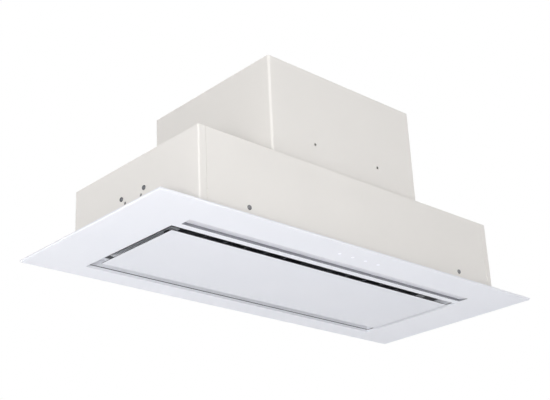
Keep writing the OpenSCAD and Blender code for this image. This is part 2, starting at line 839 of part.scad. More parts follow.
module capacitor() {
    color("lightgray") union() {
        post(cap_x, cap_y, cap_z0, cap_z1, cap_r);
        post(cap_x, cap_y, cap_z1, cap_z1 + 5, cap_r - 4);
        post(cap_x, cap_y, cap_z0 - 8, cap_z0, 4);
    }
}

module capacitor_clip() {
    z = (cap_z0 + cap_z1) / 2;
    color("silver") difference() {
        union() {
            post(cap_x, cap_y, z - 6, z + 6, cap_r + 1.6);
            block([-box_in_x, cap_y - cap_r - 8, z - 6], [-box_in_x + 1.5, cap_y + cap_r + 8, z + 6]);
            block([-box_in_x, cap_y - 6, z - 6], [cap_x, cap_y + 6, z + 6]);
        }
        post(cap_x, cap_y, z - 7, z + 7, cap_r + fit);
    }
}

module control_box() {
    color("whitesmoke") difference() {
        block([cbox_x0, cbox_y0, cbox_z0], [cbox_x1, cbox_y1, cbox_z1]);
        block([cbox_x0 - 1, cbox_y0 + cbox_t, cbox_z0 + cbox_t],
            [cbox_x1 - cbox_t, cbox_y1 - cbox_t, cbox_z1 - cbox_t]);
        post(cbox_x0 + cbox_inlet, cbox_y0 + cbox_inlet, cbox_z0 - 1, cbox_z0 + 5, lead_r + lead_gap);
        post(gland_x, gland_y, cbox_z1 - 5, cbox_z1 + 5, 6);
    }
}

module control_box_lid() {
    color("whitesmoke") difference() {
        block([cbox_x0 - cbox_t, cbox_y0, cbox_z0], [cbox_x0, cbox_y1, cbox_z1]);
        translate([cbox_x0, cbox_y0 + cbox_outlet, cbox_z0 + cbox_outlet]) rotate([0, 90, 0])
            cylinder(r = lead_r + lead_gap, h = cutter / 2, center = true);
    }
}

module control_board() {
    x0 = board_x;
    color("seagreen") union() {
        block([x0, cbox_y0 + 6, cbox_z0 + 6], [x0 + board_t, cbox_y1 - 6, cbox_z1 - 6]);
        for (y = [cbox_y0 + 12, cbox_y1 - 12])
            for (z = [cbox_z0 + 12, cbox_z1 - 12])
                translate([x0, y, z]) rotate([0, 90, 0]) cylinder(r = 3, h = board_standoff);
        block([x0 - 18, cbox_y0 + 40, cbox_z0 + 44], [x0, cbox_y0 + 74, cbox_z0 + 72]);
        for (y = [cbox_y0 + 46, cbox_y0 + 62, cbox_y0 + 78])
            block([x0 - 12, y, cbox_z0 + 14], [x0, y + 11, cbox_z0 + 32]);
    }
}

module terminal_block() {
    x0 = board_x;
    color("black") difference() {
        block([x0 - 14, cbox_y1 - 54, cbox_z1 - 34], [x0, cbox_y1 - 18, cbox_z1 - 18]);
        for (i = [0 : 2])
            translate([x0 - 14, cbox_y1 - 48 + i * 12, cbox_z1 - 26]) rotate([0, 90, 0])
                cylinder(r = 2.4, h = 12, center = true);
    }
}

module cable_gland() {
    color("black") translate([gland_x, gland_y, 0]) difference() {
        union() {
            post(0, 0, box_in_top - 8, box_top, gland_r);
            translate([0, 0, box_top]) cylinder(r = 12, h = 5, $fn = 6);
            post(0, 0, box_top + 5, box_top + 18, 9.5);
            translate([0, 0, box_in_top - 6]) cylinder(r = 12, h = 6, $fn = 6);
        }
        post(0, 0, box_in_top - 20, box_top + 30, gland_bore);
    }
}

module light_profile() {
    color("darkgray") difference() {
        union() {
            block([-light_x, light_y0 - light_wall - clear, light_lift],
                [light_x, light_y1, light_h]);
            block([-light_x, light_y0 - light_wall - light_foot, plate_t],
                [light_x, light_y1 + light_foot, plate_t + light_wall]);
        }
        block([-light_x + light_wall, light_y0, -1],
            [light_x - light_wall, light_y1 - light_wall, light_h - light_wall]);
        block([-light_x - 1, light_y0 - 20, -1], [light_x + 1, light_y0 + eps, plate_t]);
    }
}

module light_board() {
    y0 = (light_y0 + light_y1 - light_board_d) / 2;
    z0 = light_h - light_wall - light_board_t;
    span = 2 * (light_x - light_wall - light_board_end);
    color("gold") union() {
        block([-span / 2, y0, z0], [span / 2, y0 + light_board_d, z0 + light_board_t]);
        for (i = [0 : led_count - 1]) {
            x = -span / 2 + span / led_count * (i + 0.5);
            block([x - led_s / 2, y0 + light_board_d / 2 - led_s / 2, z0 - led_h],
                [x + led_s / 2, y0 + light_board_d / 2 + led_s / 2, z0]);
        }
    }
}

module light_cover() {
    y0 = light_y0 + 0.2;
    y1 = light_y1 - light_wall - 0.2;
    z0 = light_lift;
    z1 = light_lift + light_rise;
    reach = light_x - light_wall - 0.2;
    color("gainsboro") along_x(-reach, reach) polygon([[y0, z0], [y1, z1],
        [y1, z1 + light_cover_t], [y0, z0 + light_cover_t]]);
}

module light_driver() {
    z0 = plate_t;
    color("dimgray") difference() {
        union() {
            block([driver_x0, driver_y0, z0], [driver_x1, driver_y1, z0 + driver_h]);
            block([driver_x0 - 12, driver_y0 + 6, z0], [driver_x1 + 12, driver_y1 - 6, z0 + 2]);
        }
        post(driver_x1 - driver_exit, driver_y0 + driver_exit, z0 + driver_h - 4, z0 + driver_h + 1,
            lead_r + lead_gap);
    }
}

module light_lead() {
    x = driver_x1 - driver_exit;
    y = driver_y0 + driver_exit;
    rise_x = box_x - air_margin - 20;
    rise_y = box_y0 + air_margin + 20;
    end_x = cbox_x0 + cbox_inlet;
    end_y = cbox_y0 + cbox_inlet;
    turn_z = body_top - 30;
    color("white") lead([[x, y, plate_t + driver_h - 4], [x, y, (plate_t + turn_z) / 2],
        [x, y, turn_z - 15], [(x + rise_x) / 2, (y + rise_y) / 2, turn_z], [rise_x, rise_y, turn_z],
        [end_x, (rise_y + end_y) / 2, turn_z + 15], [end_x, end_y, cbox_z0 - 30],
        [end_x, end_y, cbox_z0 + 6]], lead_r);
}

module motor_lead() {
    x = cbox_x0 + 1;
    y = cbox_y0 + cbox_outlet;
    z = cbox_z0 + cbox_outlet;
    far = motor_x1 + bracket_t + 16;
    end_y = fan_y + motor_lead_y;
    end_z = fan_z + motor_lead_z;
    color("black") lead([[x, y, z], [x - 6, y, z], [x - 16, y, z], [far, end_y, end_z],
        [far - 10, end_y, end_z], [motor_x1 - motor_cap, end_y, end_z]], lead_r);
}

function key_at(i) = key_offset + (i - (key_count - 1) / 2) * key_pitch;

module touch_board() {
    half = key_pitch * key_count / 2 + 15;
    z0 = plate_t + key_bar_h;
    color("seagreen") translate([key_offset, key_y, 0]) union() {
        block([-half, -9, z0], [half, 9, z0 + 1.6]);
        block([half - 30, -6, z0 + 1.6], [half - 16, 6, z0 + 4]);
        block([-half + 6, -5, z0 + 1.6], [-half + 14, 5, z0 + 8]);
    }
}

module touch_keys() {
    half = key_pitch * key_count / 2;
    color("azure") union() {
        for (i = [0 : key_count - 1])
            post(key_at(i), key_y, 0, plate_t + eps, key_r);
        block([key_offset - half, key_y - key_bar_d / 2, plate_t],
            [key_offset + half, key_y + key_bar_d / 2, plate_t + key_bar_h]);
    }
}

// Grease filter frame on the +X side, with a pocket for its latch
module filter_frame() {
    x0 = filter_x0;
    x1 = filter_x0 + filter_w;
    difference() {
        block([x0, filter_y0, deck_z], [x1, filter_y1, deck_z + filter_t]);
        block([x0 + filter_rim, filter_y0 + 2 * filter_rim, deck_z - 1],
            [x1 - filter_rim, filter_y1 - filter_rim, deck_z + filter_t + 1]);
        block([filter_mid - latch_w / 2 - clear, filter_y0 - 1, deck_z + latch_floor],
            [filter_mid + latch_w / 2 + clear, latch_y1 + latch_travel + clear,
            latch_z + latch_h + clear]);
        block([filter_mid - latch_w / 2 - clear, filter_y0 - 1, deck_z - 1],
            [filter_mid + latch_w / 2 + clear, filter_y0 + 6.5, deck_z + latch_floor + eps]);
        block([filter_mid - pull_w / 2 - clear, filter_y0, deck_z - 1],
            [filter_mid + pull_w / 2 + clear, pull_y + pull_t + latch_travel + clear,
            deck_z + latch_floor + eps]);
    }
}

module filter_mesh() {
    x0 = filter_x0 + filter_rim;
    x1 = filter_x0 + filter_w - filter_rim;
    y0 = filter_y0 + 2 * filter_rim;
    y1 = filter_y1 - filter_rim;
    rib = 1.2;
    block([x0, y0, mesh_z], [x1, y1, mesh_z + mesh_t]);
    for (i = [1 : 5])
        translate([x0 + (x1 - x0) / 6 * i, 0, 0])
            block([-rib, y0, mesh_z - rib], [rib, y1, mesh_z + eps]);
}

// Sliding latch of one filter: a tongue over the tray's ledge and a finger pull below
module filter_latch() {
    block([filter_mid - latch_w / 2, latch_y0, latch_z],
        [filter_mid + latch_w / 2, latch_y1, latch_z + latch_h]);
    block([filter_mid - latch_w / 2, latch_y0, deck_z + 0.1],
        [filter_mid + latch_w / 2, latch_y0 + 6, latch_z + eps]);
    block([filter_mid - pull_w / 2, pull_y, deck_z - pull_drop],
        [filter_mid + pull_w / 2, pull_y + pull_t, latch_z + eps]);
}

module filter_frame_left() {
    color("dimgray") mirror([1, 0, 0]) filter_frame();
}

module filter_frame_right() {
    color("dimgray") filter_frame();
}

module filter_mesh_left() {
    color("gray") mirror([1, 0, 0]) filter_mesh();
}

module filter_mesh_right() {
    color("gray") filter_mesh();
}

module filter_latch_left() {
    color("black") mirror([1, 0, 0]) filter_latch();
}

module filter_latch_right() {
    color("black") filter_latch();
}

// Dark baffle that closes the deck beside the filters at +X
module end_baffle() {
    block([baffle_x0, tray_y0 - 6, deck_z], [baffle_x1, tray_y1 + 6, deck_z + baffle_t]);
    block([baffle_x0, filter_y0, deck_z], [baffle_x0 + baffle_t, filter_y1, deck_z + filter_t]);
}

module end_baffle_left() {
    color("dimgray") mirror([1, 0, 0]) end_baffle();
}

module end_baffle_right() {
    color("dimgray") end_baffle();
}

module filter_rails() {
    color("lightgray") both_sides() union() {
        block([rail_x0, rail_y0, rail_z], [rail_x1, rail_y1, deck_z]);
        block([rail_x0, rail_y0 + 28, rail_z - 3], [rail_x0 + rail_t, rail_y1 - 6, deck_z]);
    }
}

module magnet_catches() {
    color("black") both_sides()
        block([magnet_x0, magnet_y - magnet_d / 2, magnet_z],
            [magnet_x1, magnet_y + magnet_d / 2, rail_z]);
}

// Steel steps on the panel that reach up to the magnets
module keeper_plates() {
    top = magnet_z - clear;
    color("silver") both_sides() union() {
        block([magnet_x0, magnet_y - magnet_d / 2 - 10, panel_t],
            [magnet_x1, magnet_y - magnet_d / 2, panel_t + 1.2]);
        block([magnet_x0, magnet_y - magnet_d / 2 - 1.2, panel_t],
            [magnet_x1, magnet_y - magnet_d / 2, top]);
        block([magnet_x0, magnet_y - magnet_d / 2 - 1.2, top - 1.2],
            [magnet_x1, magnet_y + magnet_d / 2, top]);
    }
}

module suction_panel() {
    color("white") block([-panel_x, panel_y0, 0], [panel_x, panel_y1, panel_t]);
}

// Shallow pan on the panel's back that keeps it flat
module panel_carrier() {
    color("lightgray") difference() {
        union() {
            block([-carrier_x - carrier_flange, carrier_y0 - carrier_flange, panel_t],
                [carrier_x + carrier_flange, carrier_y1 + carrier_flange, panel_t + carrier_t]);
            block([-carrier_x, carrier_y0, panel_t], [carrier_x, carrier_y1, panel_t + carrier_h]);
        }
        block([-carrier_x + carrier_t, carrier_y0 + carrier_t, panel_t - 1],
            [carrier_x - carrier_t, carrier_y1 - carrier_t, panel_t + carrier_h - carrier_t]);
    }
}

// Plan of one hinge ear, from the pin to the tray's rear wall
module ear_plan() {
    difference() {
        union() {
            translate([pivot_y, pivot_z]) circle(r = hinge_eye_r);
            polygon([[pivot_y - 0.5, pivot_z + hinge_eye_r], [tray_y1, deck_z - 2],
                [tray_y1, pivot_z + 4], [pivot_y + 2.2, pivot_z - hinge_eye_r + 0.6]]);
        }
        translate([pivot_y, pivot_z]) circle(r = hinge_pin_r);
    }
}

module hinge_brackets() {
    color("silver") both_sides() union() {
        for (x = [hinge_x - ear_x - ear_t, hinge_x + ear_x])
            along_x(x, x + ear_t) ear_plan();
        block([hinge_x - 16, tray_y1 - 1.5, pivot_z + 4], [hinge_x + 16, tray_y1, deck_z - 2]);
    }
}

module hinge_arms() {
    foot_y = carrier_y1 + carrier_flange + 1;
    color("silver") both_sides() along_x(hinge_x - arm_w / 2, hinge_x + arm_w / 2) difference() {
        union() {
            translate([pivot_y, pivot_z]) circle(r = hinge_eye_r);
            polygon([[foot_y, panel_t], [panel_y1 - 1, panel_t],
                [pivot_y + 1, pivot_z - hinge_eye_r + 0.4], [pivot_y - 1, pivot_z + hinge_eye_r - 0.2],
                [foot_y, panel_t + 2]]);
        }
        translate([pivot_y, pivot_z]) circle(r = hinge_pin_r + fit);
    }
}

module hinge_pins() {
    reach = ear_x + ear_t + 1;
    color("silver") both_sides() translate([hinge_x - reach, pivot_y, pivot_z])
        rotate([0, 90, 0]) cylinder(r = hinge_pin_r, h = 2 * reach);
}

module nut_plates() {
    color("silver") both_sides() difference() {
        block([in_x - nut_plate_t, -nut_plate_w / 2, side_screw_z - nut_plate_h / 2],
            [in_x, nut_plate_w / 2, side_screw_z + nut_plate_h / 2]);
        for (y = [-side_screw_pitch / 2, side_screw_pitch / 2])
            translate([body_x, y, side_screw_z]) rotate([0, 90, 0])
                cylinder(r = screw_r, h = cutter, center = true);
        for (y = [-side_hole_pitch / 2, side_hole_pitch / 2])
            translate([body_x, y, side_hole_z]) rotate([0, 90, 0])
                cylinder(r = side_hole_d / 2, h = cutter, center = true);
    }
}

module side_screws() {
    color("silver") both_sides() for (y = [-side_screw_pitch / 2, side_screw_pitch / 2])
        translate([body_x, y, side_screw_z]) rotate([0, 90, 0])
            pan_screw(screw_r, screw_head_r, screw_head_h, body_screw_l);
}

module front_screws() {
    color("silver") for (side = [-1, 1])
        for (x = [-front_screw_x, front_screw_x])
            translate([x, side < 0 ? body_y0 : body_y1, front_screw_z]) rotate([-90 * side, 0, 0])
                mirror([0, 0, 1]) rotate([180, 0, 0])
                    pan_screw(screw_r, screw_head_r, screw_head_h, body_screw_l);
}

module box_screws() {
    color("silver") for (spot = box_screw_spots)
        translate([spot[0], spot[1], body_top + skin])
            pan_screw(small_r, small_head_r, small_head_h, box_screw_l);
}

module collar_screws() {
    color("silver") for (turn = collar_angles)
        translate([collar_screw_r * cos(turn), box_mid_y + collar_screw_r * sin(turn), collar_z])
            pan_screw(small_r, small_head_r, small_head_h, collar_screw_l);
}

module scroll_screws() {
    color("silver") for (turn = bracket_turns)
        translate([motor_x1 + bracket_t, fan_y, fan_z]) rotate([turn, 0, 0])
            translate([0, bracket_r, 0]) rotate([0, 90, 0])
                pan_screw(small_r, small_head_r, small_head_h, box_screw_l);
}

frame_plate();
lip_seal();
suction_tray();
end_panel_left();
end_panel_right();
body_front_panel();
body_rear_panel();
body_top_panel();
motor_box_shell();
motor_box_rear();
motor_box_top();
outlet_collar();
damper_flap_front();
damper_flap_rear();
damper_pin();
scroll_left();
scroll_right();
impeller();
motor_shaft();
motor_housing();
motor_bracket();
capacitor();
capacitor_clip();
control_box();
control_box_lid();
control_board();
terminal_block();
cable_gland();
light_profile();
light_board();
light_cover();
light_driver();
light_lead();
motor_lead();
touch_board();
touch_keys();
filter_frame_left();
filter_frame_right();
filter_mesh_left();
filter_mesh_right();
filter_latch_left();
filter_latch_right();
end_baffle_left();
end_baffle_right();
filter_rails();
magnet_catches();
keeper_plates();
suction_panel();
panel_carrier();
hinge_brackets();
hinge_arms();
hinge_pins();
nut_plates();
front_screws();
side_screws();
box_screws();
collar_screws();
scroll_screws();
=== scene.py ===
# Built-in range hood: camera, studio, finishes and the detailed pieces, all built round the fixed frame.
import json
import math
import bmesh
import bpy
from mathutils import Matrix, Vector

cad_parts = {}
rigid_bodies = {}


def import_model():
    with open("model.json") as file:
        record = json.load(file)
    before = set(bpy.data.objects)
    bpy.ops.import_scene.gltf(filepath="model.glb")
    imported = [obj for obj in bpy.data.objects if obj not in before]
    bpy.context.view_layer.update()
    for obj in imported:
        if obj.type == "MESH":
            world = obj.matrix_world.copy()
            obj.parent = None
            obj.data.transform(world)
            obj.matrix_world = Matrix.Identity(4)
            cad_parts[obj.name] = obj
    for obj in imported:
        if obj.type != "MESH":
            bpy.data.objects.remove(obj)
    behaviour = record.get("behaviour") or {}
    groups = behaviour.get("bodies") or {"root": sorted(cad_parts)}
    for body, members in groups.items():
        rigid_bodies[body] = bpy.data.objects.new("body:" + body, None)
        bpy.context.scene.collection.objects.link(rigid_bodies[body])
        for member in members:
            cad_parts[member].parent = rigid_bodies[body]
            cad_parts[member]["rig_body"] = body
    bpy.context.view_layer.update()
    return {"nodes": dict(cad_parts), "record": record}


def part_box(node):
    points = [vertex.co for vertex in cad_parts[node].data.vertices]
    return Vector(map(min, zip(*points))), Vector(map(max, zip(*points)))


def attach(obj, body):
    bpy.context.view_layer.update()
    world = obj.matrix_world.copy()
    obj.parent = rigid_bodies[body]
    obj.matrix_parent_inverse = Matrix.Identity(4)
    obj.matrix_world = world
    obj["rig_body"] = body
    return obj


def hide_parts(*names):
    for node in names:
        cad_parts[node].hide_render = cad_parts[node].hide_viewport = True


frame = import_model()
scene = bpy.context.scene
scene.view_settings.view_transform = "Standard"
mm = 0.001
hair = 0.01 * mm  # points closer than this are in one place
print("frame loaded:", len(frame["nodes"]), "nodes")


# small helpers

def linearColour(hexText):
    # sRGB hex to the linear values that the shaders work in
    parts = [int(hexText[i:i + 2], 16) / 255 for i in (1, 3, 5)]
    return [*(c / 12.92 if c <= 0.04045 else ((c + 0.055) / 1.055) ** 2.4 for c in parts), 1.0]


def addNode(tree, kind, inputs=None, **settings):
    # one node with its settings; an input is a value, a socket to link from, or a list of sockets
    node = tree.nodes.new(kind)
    for key, value in settings.items():
        setattr(node, key, value)
    for key, value in (inputs or {}).items():
        values = value if isinstance(value, list) else [value]
        sources = [one for one in values if hasattr(one, "is_linked")]
        for source in sources:
            tree.links.new(source, node.inputs[key])
        if not sources:
            node.inputs[key].default_value = value
    return node


def outOf(tree, kind, inputs=None, **settings):
    # the first output of a new node
    return addNode(tree, kind, inputs, **settings).outputs[0]


def startMaterial(name, colour, values):
    # a material with its tree, the inputs of its shader and the place on the object, in metres
    material = bpy.data.materials.new(name)
    material.use_nodes = True
    tree = material.node_tree
    shader = tree.nodes["Principled BSDF"].inputs
    for key, value in {"Base Color": linearColour(colour), **values}.items():
        shader[key].default_value = value
    return material, tree, shader, addNode(tree, "ShaderNodeTexCoord").outputs["Object"]


def metres(sizes):
    return tuple(size * mm for size in sizes)


def addObject(name, data):
    # an object in the scene, at the origin until it is placed
    thing = bpy.data.objects.new(name, data)
    scene.collection.objects.link(thing)
    return thing


def boxOf(node):
    # lowest corner, highest corner and middle of a CAD node
    low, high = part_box(node)
    return low, high, (low + high) / 2


# camera at the photograph's angle

cameraLook = {
    "place": (-1.3405, -1.3491, -0.6385),  # metres, below the hood and off its front left corner
    "turn": (112.873, 2.607, -42.825),  # degrees about X, Y and Z
    "lens": 72.83,
}
cameraData = bpy.data.cameras.new("camera")
cameraData.lens = cameraLook["lens"]
camera = addObject("camera", cameraData)
camera.location = cameraLook["place"]
camera.rotation_euler = [math.radians(a) for a in cameraLook["turn"]]
scene.camera = camera


# studio: pale floor, white surroundings and large soft lamps

studio = {
    "floorDrop": 1.6,  # metres from the hood's underside to the floor
    "floorSize": 30,
    "floorColour": "#fafafa",
    "floorRoughness": 0.9,
    "floorGlow": (0.62, 1.0),  # seen by the camera besides the lamps' light, near the hood and far away
    "floorFade": (3, 9),  # metres from the hood between which the glow rises, so that no edge of it shows
    "ambient": "#f2f3f6",
    "ambientLevel": 0.12,
    "lamps": [  # places in metres, powers in watts
        {"name": "highFront", "place": (0.7, -3.4, 2.1), "aim": (0, 0, 0.15), "size": 2.4, "power": 47},
        {"name": "sideLeft", "place": (-3.4, 0.3, 0.4), "aim": (0, 0, 0.1), "size": 2.4, "power": 25},
        {"name": "lowLeft", "place": (-2.9, -2.5, -1.35), "aim": (0, 0, 0.1), "size": 1.4, "power": 150},
        {"name": "under", "place": (-1.0, -0.4, -1.4), "aim": (-0.2, 0, 0), "size": 1.2, "power": 5},
        {"name": "highRear", "place": (1.2, 2.0, 1.5), "aim": (0, 0, 0.2), "size": 1.8, "power": 46},
        {"name": "overhead", "place": (0.2, 0.3, 3.0), "aim": (0.1, 0.1, 0), "size": 1.2, "power": 20},
        {"name": "sideRight", "place": (2.4, 0.4, 1.0), "aim": (0, 0, 0.2), "size": 1.6, "power": 15},
    ],
}


def seenRays(tree):
    # 1 for the rays that show a surface to the camera, straight, mirrored or through glass
    ray = addNode(tree, "ShaderNodeLightPath").outputs
    seen = outOf(tree, "ShaderNodeMath", {0: ray["Is Camera Ray"], 1: ray["Is Glossy Ray"]},
                 operation="MAXIMUM")
    return outOf(tree, "ShaderNodeMath", {0: seen, 1: ray["Is Transmission Ray"]}, operation="MAXIMUM")


def buildWorld():
    world = bpy.data.worlds.new("studio")
    scene.world = world
    world.use_nodes = True
    tree = world.node_tree
    tree.nodes.clear()
    levels = ((studio["ambient"], studio["ambientLevel"]), ("#ffffff", 1))
    soft, white = (outOf(tree, "ShaderNodeBackground", {"Color": linearColour(colour), "Strength": level})
                   for colour, level in levels)
    mix = outOf(tree, "ShaderNodeMixShader", {0: seenRays(tree), 1: soft, 2: white})
    addNode(tree, "ShaderNodeOutputWorld", {"Surface": mix})


def buildFloor():
    half = studio["floorSize"] / 2
    corners = [(-half, -half, 0), (half, -half, 0), (half, half, 0), (-half, half, 0)]
    mesh = bpy.data.meshes.new("floor")
    mesh.from_pydata(corners, [], [(0, 1, 2, 3)])
    floor = addObject("floor", mesh)
    floor.location = (0, 0, -studio["floorDrop"])
    paper, tree, shader, place = startMaterial("whiteFloorPaper", studio["floorColour"], {
        "Roughness": studio["floorRoughness"], "Emission Color": linearColour("#ffffff")})
    far = addNode(tree, "ShaderNodeVectorMath", {0: place}, operation="LENGTH").outputs["Value"]
    level = outOf(tree, "ShaderNodeMapRange", {
        "Value": far, "From Min": studio["floorFade"][0], "From Max": studio["floorFade"][1],
        "To Min": studio["floorGlow"][0], "To Max": studio["floorGlow"][1]})
    glow = outOf(tree, "ShaderNodeMath", {0: seenRays(tree), 1: level}, operation="MULTIPLY")
    tree.links.new(glow, shader["Emission Strength"])
    mesh.materials.append(paper)


def buildLamp(look):
    lamp = bpy.data.lights.new(look["name"], "AREA")
    lamp.shape = "DISK"
    lamp.size = look["size"]
    lamp.energy = look["power"]
    holder = addObject(look["name"], lamp)
    holder.location = look["place"]
    aim = Vector(look["aim"]) - Vector(look["place"])
    holder.rotation_euler = aim.to_track_quat("-Z", "Y").to_euler()
    holder.visible_camera = False


buildWorld()
buildFloor()
for look in studio["lamps"]:
    buildLamp(look)
print("studio ready:", len(studio["lamps"]), "lamps")


# finishes

def speckle(tree, place, size, detail, stretch=(1, 1, 1)):
    # noise with features of the given millimetres, longer along the axes with a small stretch
    mapped = outOf(tree, "ShaderNodeMapping", {"Vector": place, "Scale": stretch})
    return addNode(tree, "ShaderNodeTexNoise", {
        "Vector": mapped, "Scale": 1 / (size * mm), "Detail": detail}).outputs["Fac"]


def tint(tree, shader, amount, colourA, colourB):
    # colour that wanders between two close shades
    mix = addNode(tree, "ShaderNodeMix", {0: amount, 6: linearColour(colourA), 7: linearColour(colourB)},
                  data_type="RGBA")
    tree.links.new(mix.outputs[2], shader["Base Color"])


def vary(tree, shader, amount, low, high):
    # roughness between two values
    spread = outOf(tree, "ShaderNodeMapRange", {"Value": amount, "To Min": low, "To Max": high})
    tree.links.new(spread, shader["Roughness"])


def dent(tree, shader, height, depth):
    # relief with a depth in millimetres
    bump = outOf(tree, "ShaderNodeBump", {"Height": height, "Distance": depth * mm})
    tree.links.new(bump, shader["Normal"])


# for the colour, the gloss and the relief: size in millimetres and detail of the noise behind it;
# stray is how far the gloss strays down and up, depth the relief's height in millimetres
grains = {
    "coat": {"colour": (160, 1), "gloss": (30, 3), "relief": (5, 1), "stray": (0.04, 0.05), "depth": 0.012},
    "mould": {"colour": (60, 2), "gloss": (12, 2), "relief": (0.8, 2), "stray": (0.03, 0.05), "depth": 0.01},
    "brush": {"detail": 3, "stretch": 0.02, "stray": (0.06, 0.08), "depth": 0.004},
    "frost": {"colour": (40, 1), "relief": (2, 1), "depth": 0.006, "scatter": 0.25, "scatterDepth": 2},
    "spangle": {"size": 9, "gloss": (0.34, 0.5)},
    "track": {"size": 5, "width": 0.06, "brick": (1.5, 0.5)},  # width and brick are shares of the size
}


def grained(name, colour, shade, gloss, grain, ior):
    # a finish with some unevenness of colour, gloss and surface
    material, tree, shader, place = startMaterial(name, colour, {"Roughness": gloss, "IOR": ior})
    down, up = grain["stray"]
    tint(tree, shader, speckle(tree, place, *grain["colour"]), colour, shade)
    vary(tree, shader, speckle(tree, place, *grain["gloss"]), gloss - down, gloss + up)
    dent(tree, shader, speckle(tree, place, *grain["relief"]), grain["depth"])
    return material


def powderCoat(name, colour, shade, gloss):
    # polyester powder coat on sheet steel: even colour, soft gloss, faint orange peel;
    # the peel is 1 mm across on the real sheet and is drawn at 5 mm so that it shows
    return grained(name, colour, shade, gloss, grains["coat"], 1.5)


def mouldedPlastic(name, colour, shade, gloss, texture=0.8, ior=1.46):
    # injection moulding with a fine spark-eroded texture
    return grained(name, colour, shade, gloss, {**grains["mould"], "relief": (texture, 2)}, ior)


def zincSheet(name, colour, shade):
    # hot-dip galvanised steel: spangle crystals about 9 mm across, each a little lighter or duller
    grain = grains["spangle"]
    material, tree, shader, place = startMaterial(name, colour, {"Metallic": 1.0, "Roughness": 0.42})
    cells = addNode(tree, "ShaderNodeTexVoronoi", {"Vector": place, "Scale": 1 / (grain["size"] * mm)})
    grey = outOf(tree, "ShaderNodeRGBToBW", {"Color": cells.outputs["Color"]})
    tint(tree, shader, grey, colour, shade)
    vary(tree, shader, grey, *grain["gloss"])
    return material


def brushedMetal(name, colour, shade, gloss, size, along):
    # metal with fine straight scratches; along is the axis that they follow
    grain = grains["brush"]
    material, tree, shader, place = startMaterial(name, colour, {"Metallic": 1.0, "Roughness": gloss})
    stretch = [grain["stretch"] if axis == along else 1.0 for axis in "XYZ"]
    scratches = speckle(tree, place, size, grain["detail"], stretch)
    down, up = grain["stray"]
    tint(tree, shader, scratches, colour, shade)
    vary(tree, shader, scratches, gloss - down, gloss + up)
    dent(tree, shader, scratches, grain["depth"])
    return material


def frostedAcrylic(name, colour, shade, gloss, glow=0.0):
    # opal acrylic: light scatters just below a satin face
    grain = grains["frost"]
    material, tree, shader, place = startMaterial(name, colour, {
        "Roughness": gloss, "IOR": 1.49, "Subsurface Weight": grain["scatter"],
        "Subsurface Radius": (1, 1, 1), "Subsurface Scale": grain["scatterDepth"] * mm})
    tint(tree, shader, speckle(tree, place, *grain["colour"]), colour, shade)
    dent(tree, shader, speckle(tree, place, *grain["relief"]), grain["depth"])
    if glow:
        shader["Emission Color"].default_value = linearColour(colour)
        shader["Emission Strength"].default_value = glow
    return material


def circuitBoard(name, colour, track):
    # glass-fibre board with solder mask; copper runs show through as lighter bands on a 2.5 mm grid
    grain = grains["track"]
    material, tree, shader, place = startMaterial(name, colour, {"Roughness": 0.38, "IOR": 1.52})
    runs = addNode(tree, "ShaderNodeTexBrick", {
        "Vector": place, "Color1": (0, 0, 0, 1), "Color2": (0, 0, 0, 1), "Mortar": (1, 1, 1, 1),
        "Scale": 1 / (grain["size"] * mm), "Mortar Size": grain["width"],
        "Brick Width": grain["brick"][0], "Row Height": grain["brick"][1]})
    tint(tree, shader, runs.outputs["Color"], colour, track)
    return material


finishes = {
    "frame_white": powderCoat("satinWhiteSheetCoat", "#ecedf3", "#e6e8ef", 0.5),
    "body_white": powderCoat("mattWhitePowderCoat", "#e4e1dd", "#dfdcd8", 0.54),
    "seal_grey": mouldedPlastic("greySealRubber", "#434447", "#3a3b3e", 0.62, 1.2, 1.52),
    "galvanised_steel": zincSheet("galvanisedSteel", "#b9bcc0", "#9da1a6"),
    # charcoal coat of the inner sheets, dark as painted shade of the unlit cavity seen through the gaps
    "black_steel": powderCoat("mattCharcoalPowderCoat", "#4c4d51", "#434448", 0.58),
    "bright_steel": brushedMetal("zincPlatedSteel", "#b4b4b2", "#96979a", 0.32, 0.6, "Z"),
    "white_plastic": mouldedPlastic("mouldedWhitePlastic", "#deded9", "#d6d6d0", 0.45),
    "grey_plastic": mouldedPlastic("mouldedGreyPlastic", "#7e8083", "#747679", 0.5),
    "black_plastic": mouldedPlastic("mouldedBlackNylon", "#1e1e20", "#18181a", 0.48, 0.8, 1.53),
    "motor_enamel": powderCoat("blackMotorEnamel", "#232428", "#1c1d20", 0.36),
    "circuit_board": circuitBoard("greenCircuitBoard", "#1d5c35", "#2f7a4a"),
    "light_strip": mouldedPlastic("whiteLightBoard", "#eceadd", "#e6e3d4", 0.35),
    "anodised_aluminium": brushedMetal("satinAnodisedAluminium", "#a8aaae", "#9a9b9f", 0.36, 0.5, "X"),
    "opal_acrylic": frostedAcrylic("opalAcrylic", "#dcdce4", "#d6d7df", 0.3),
    "clear_acrylic": frostedAcrylic("litKeyAcrylic", "#f1f2fb", "#ecedf9", 0.2, 0.3),
    "filter_frame": powderCoat("greyCoatedFilterFrame", "#505155", "#47484c", 0.45),
    "filter_mesh": brushedMetal("darkAluminiumMesh", "#7b7d81", "#67696d", 0.42, 0.6, "X"),
    "white_cable": mouldedPlastic("whiteCableSleeve", "#dedcd6", "#d6d4cd", 0.5, 0.8, 1.53),
    "black_cable": mouldedPlastic("blackCableSleeve", "#222224", "#1b1b1d", 0.5, 0.8, 1.53),
}
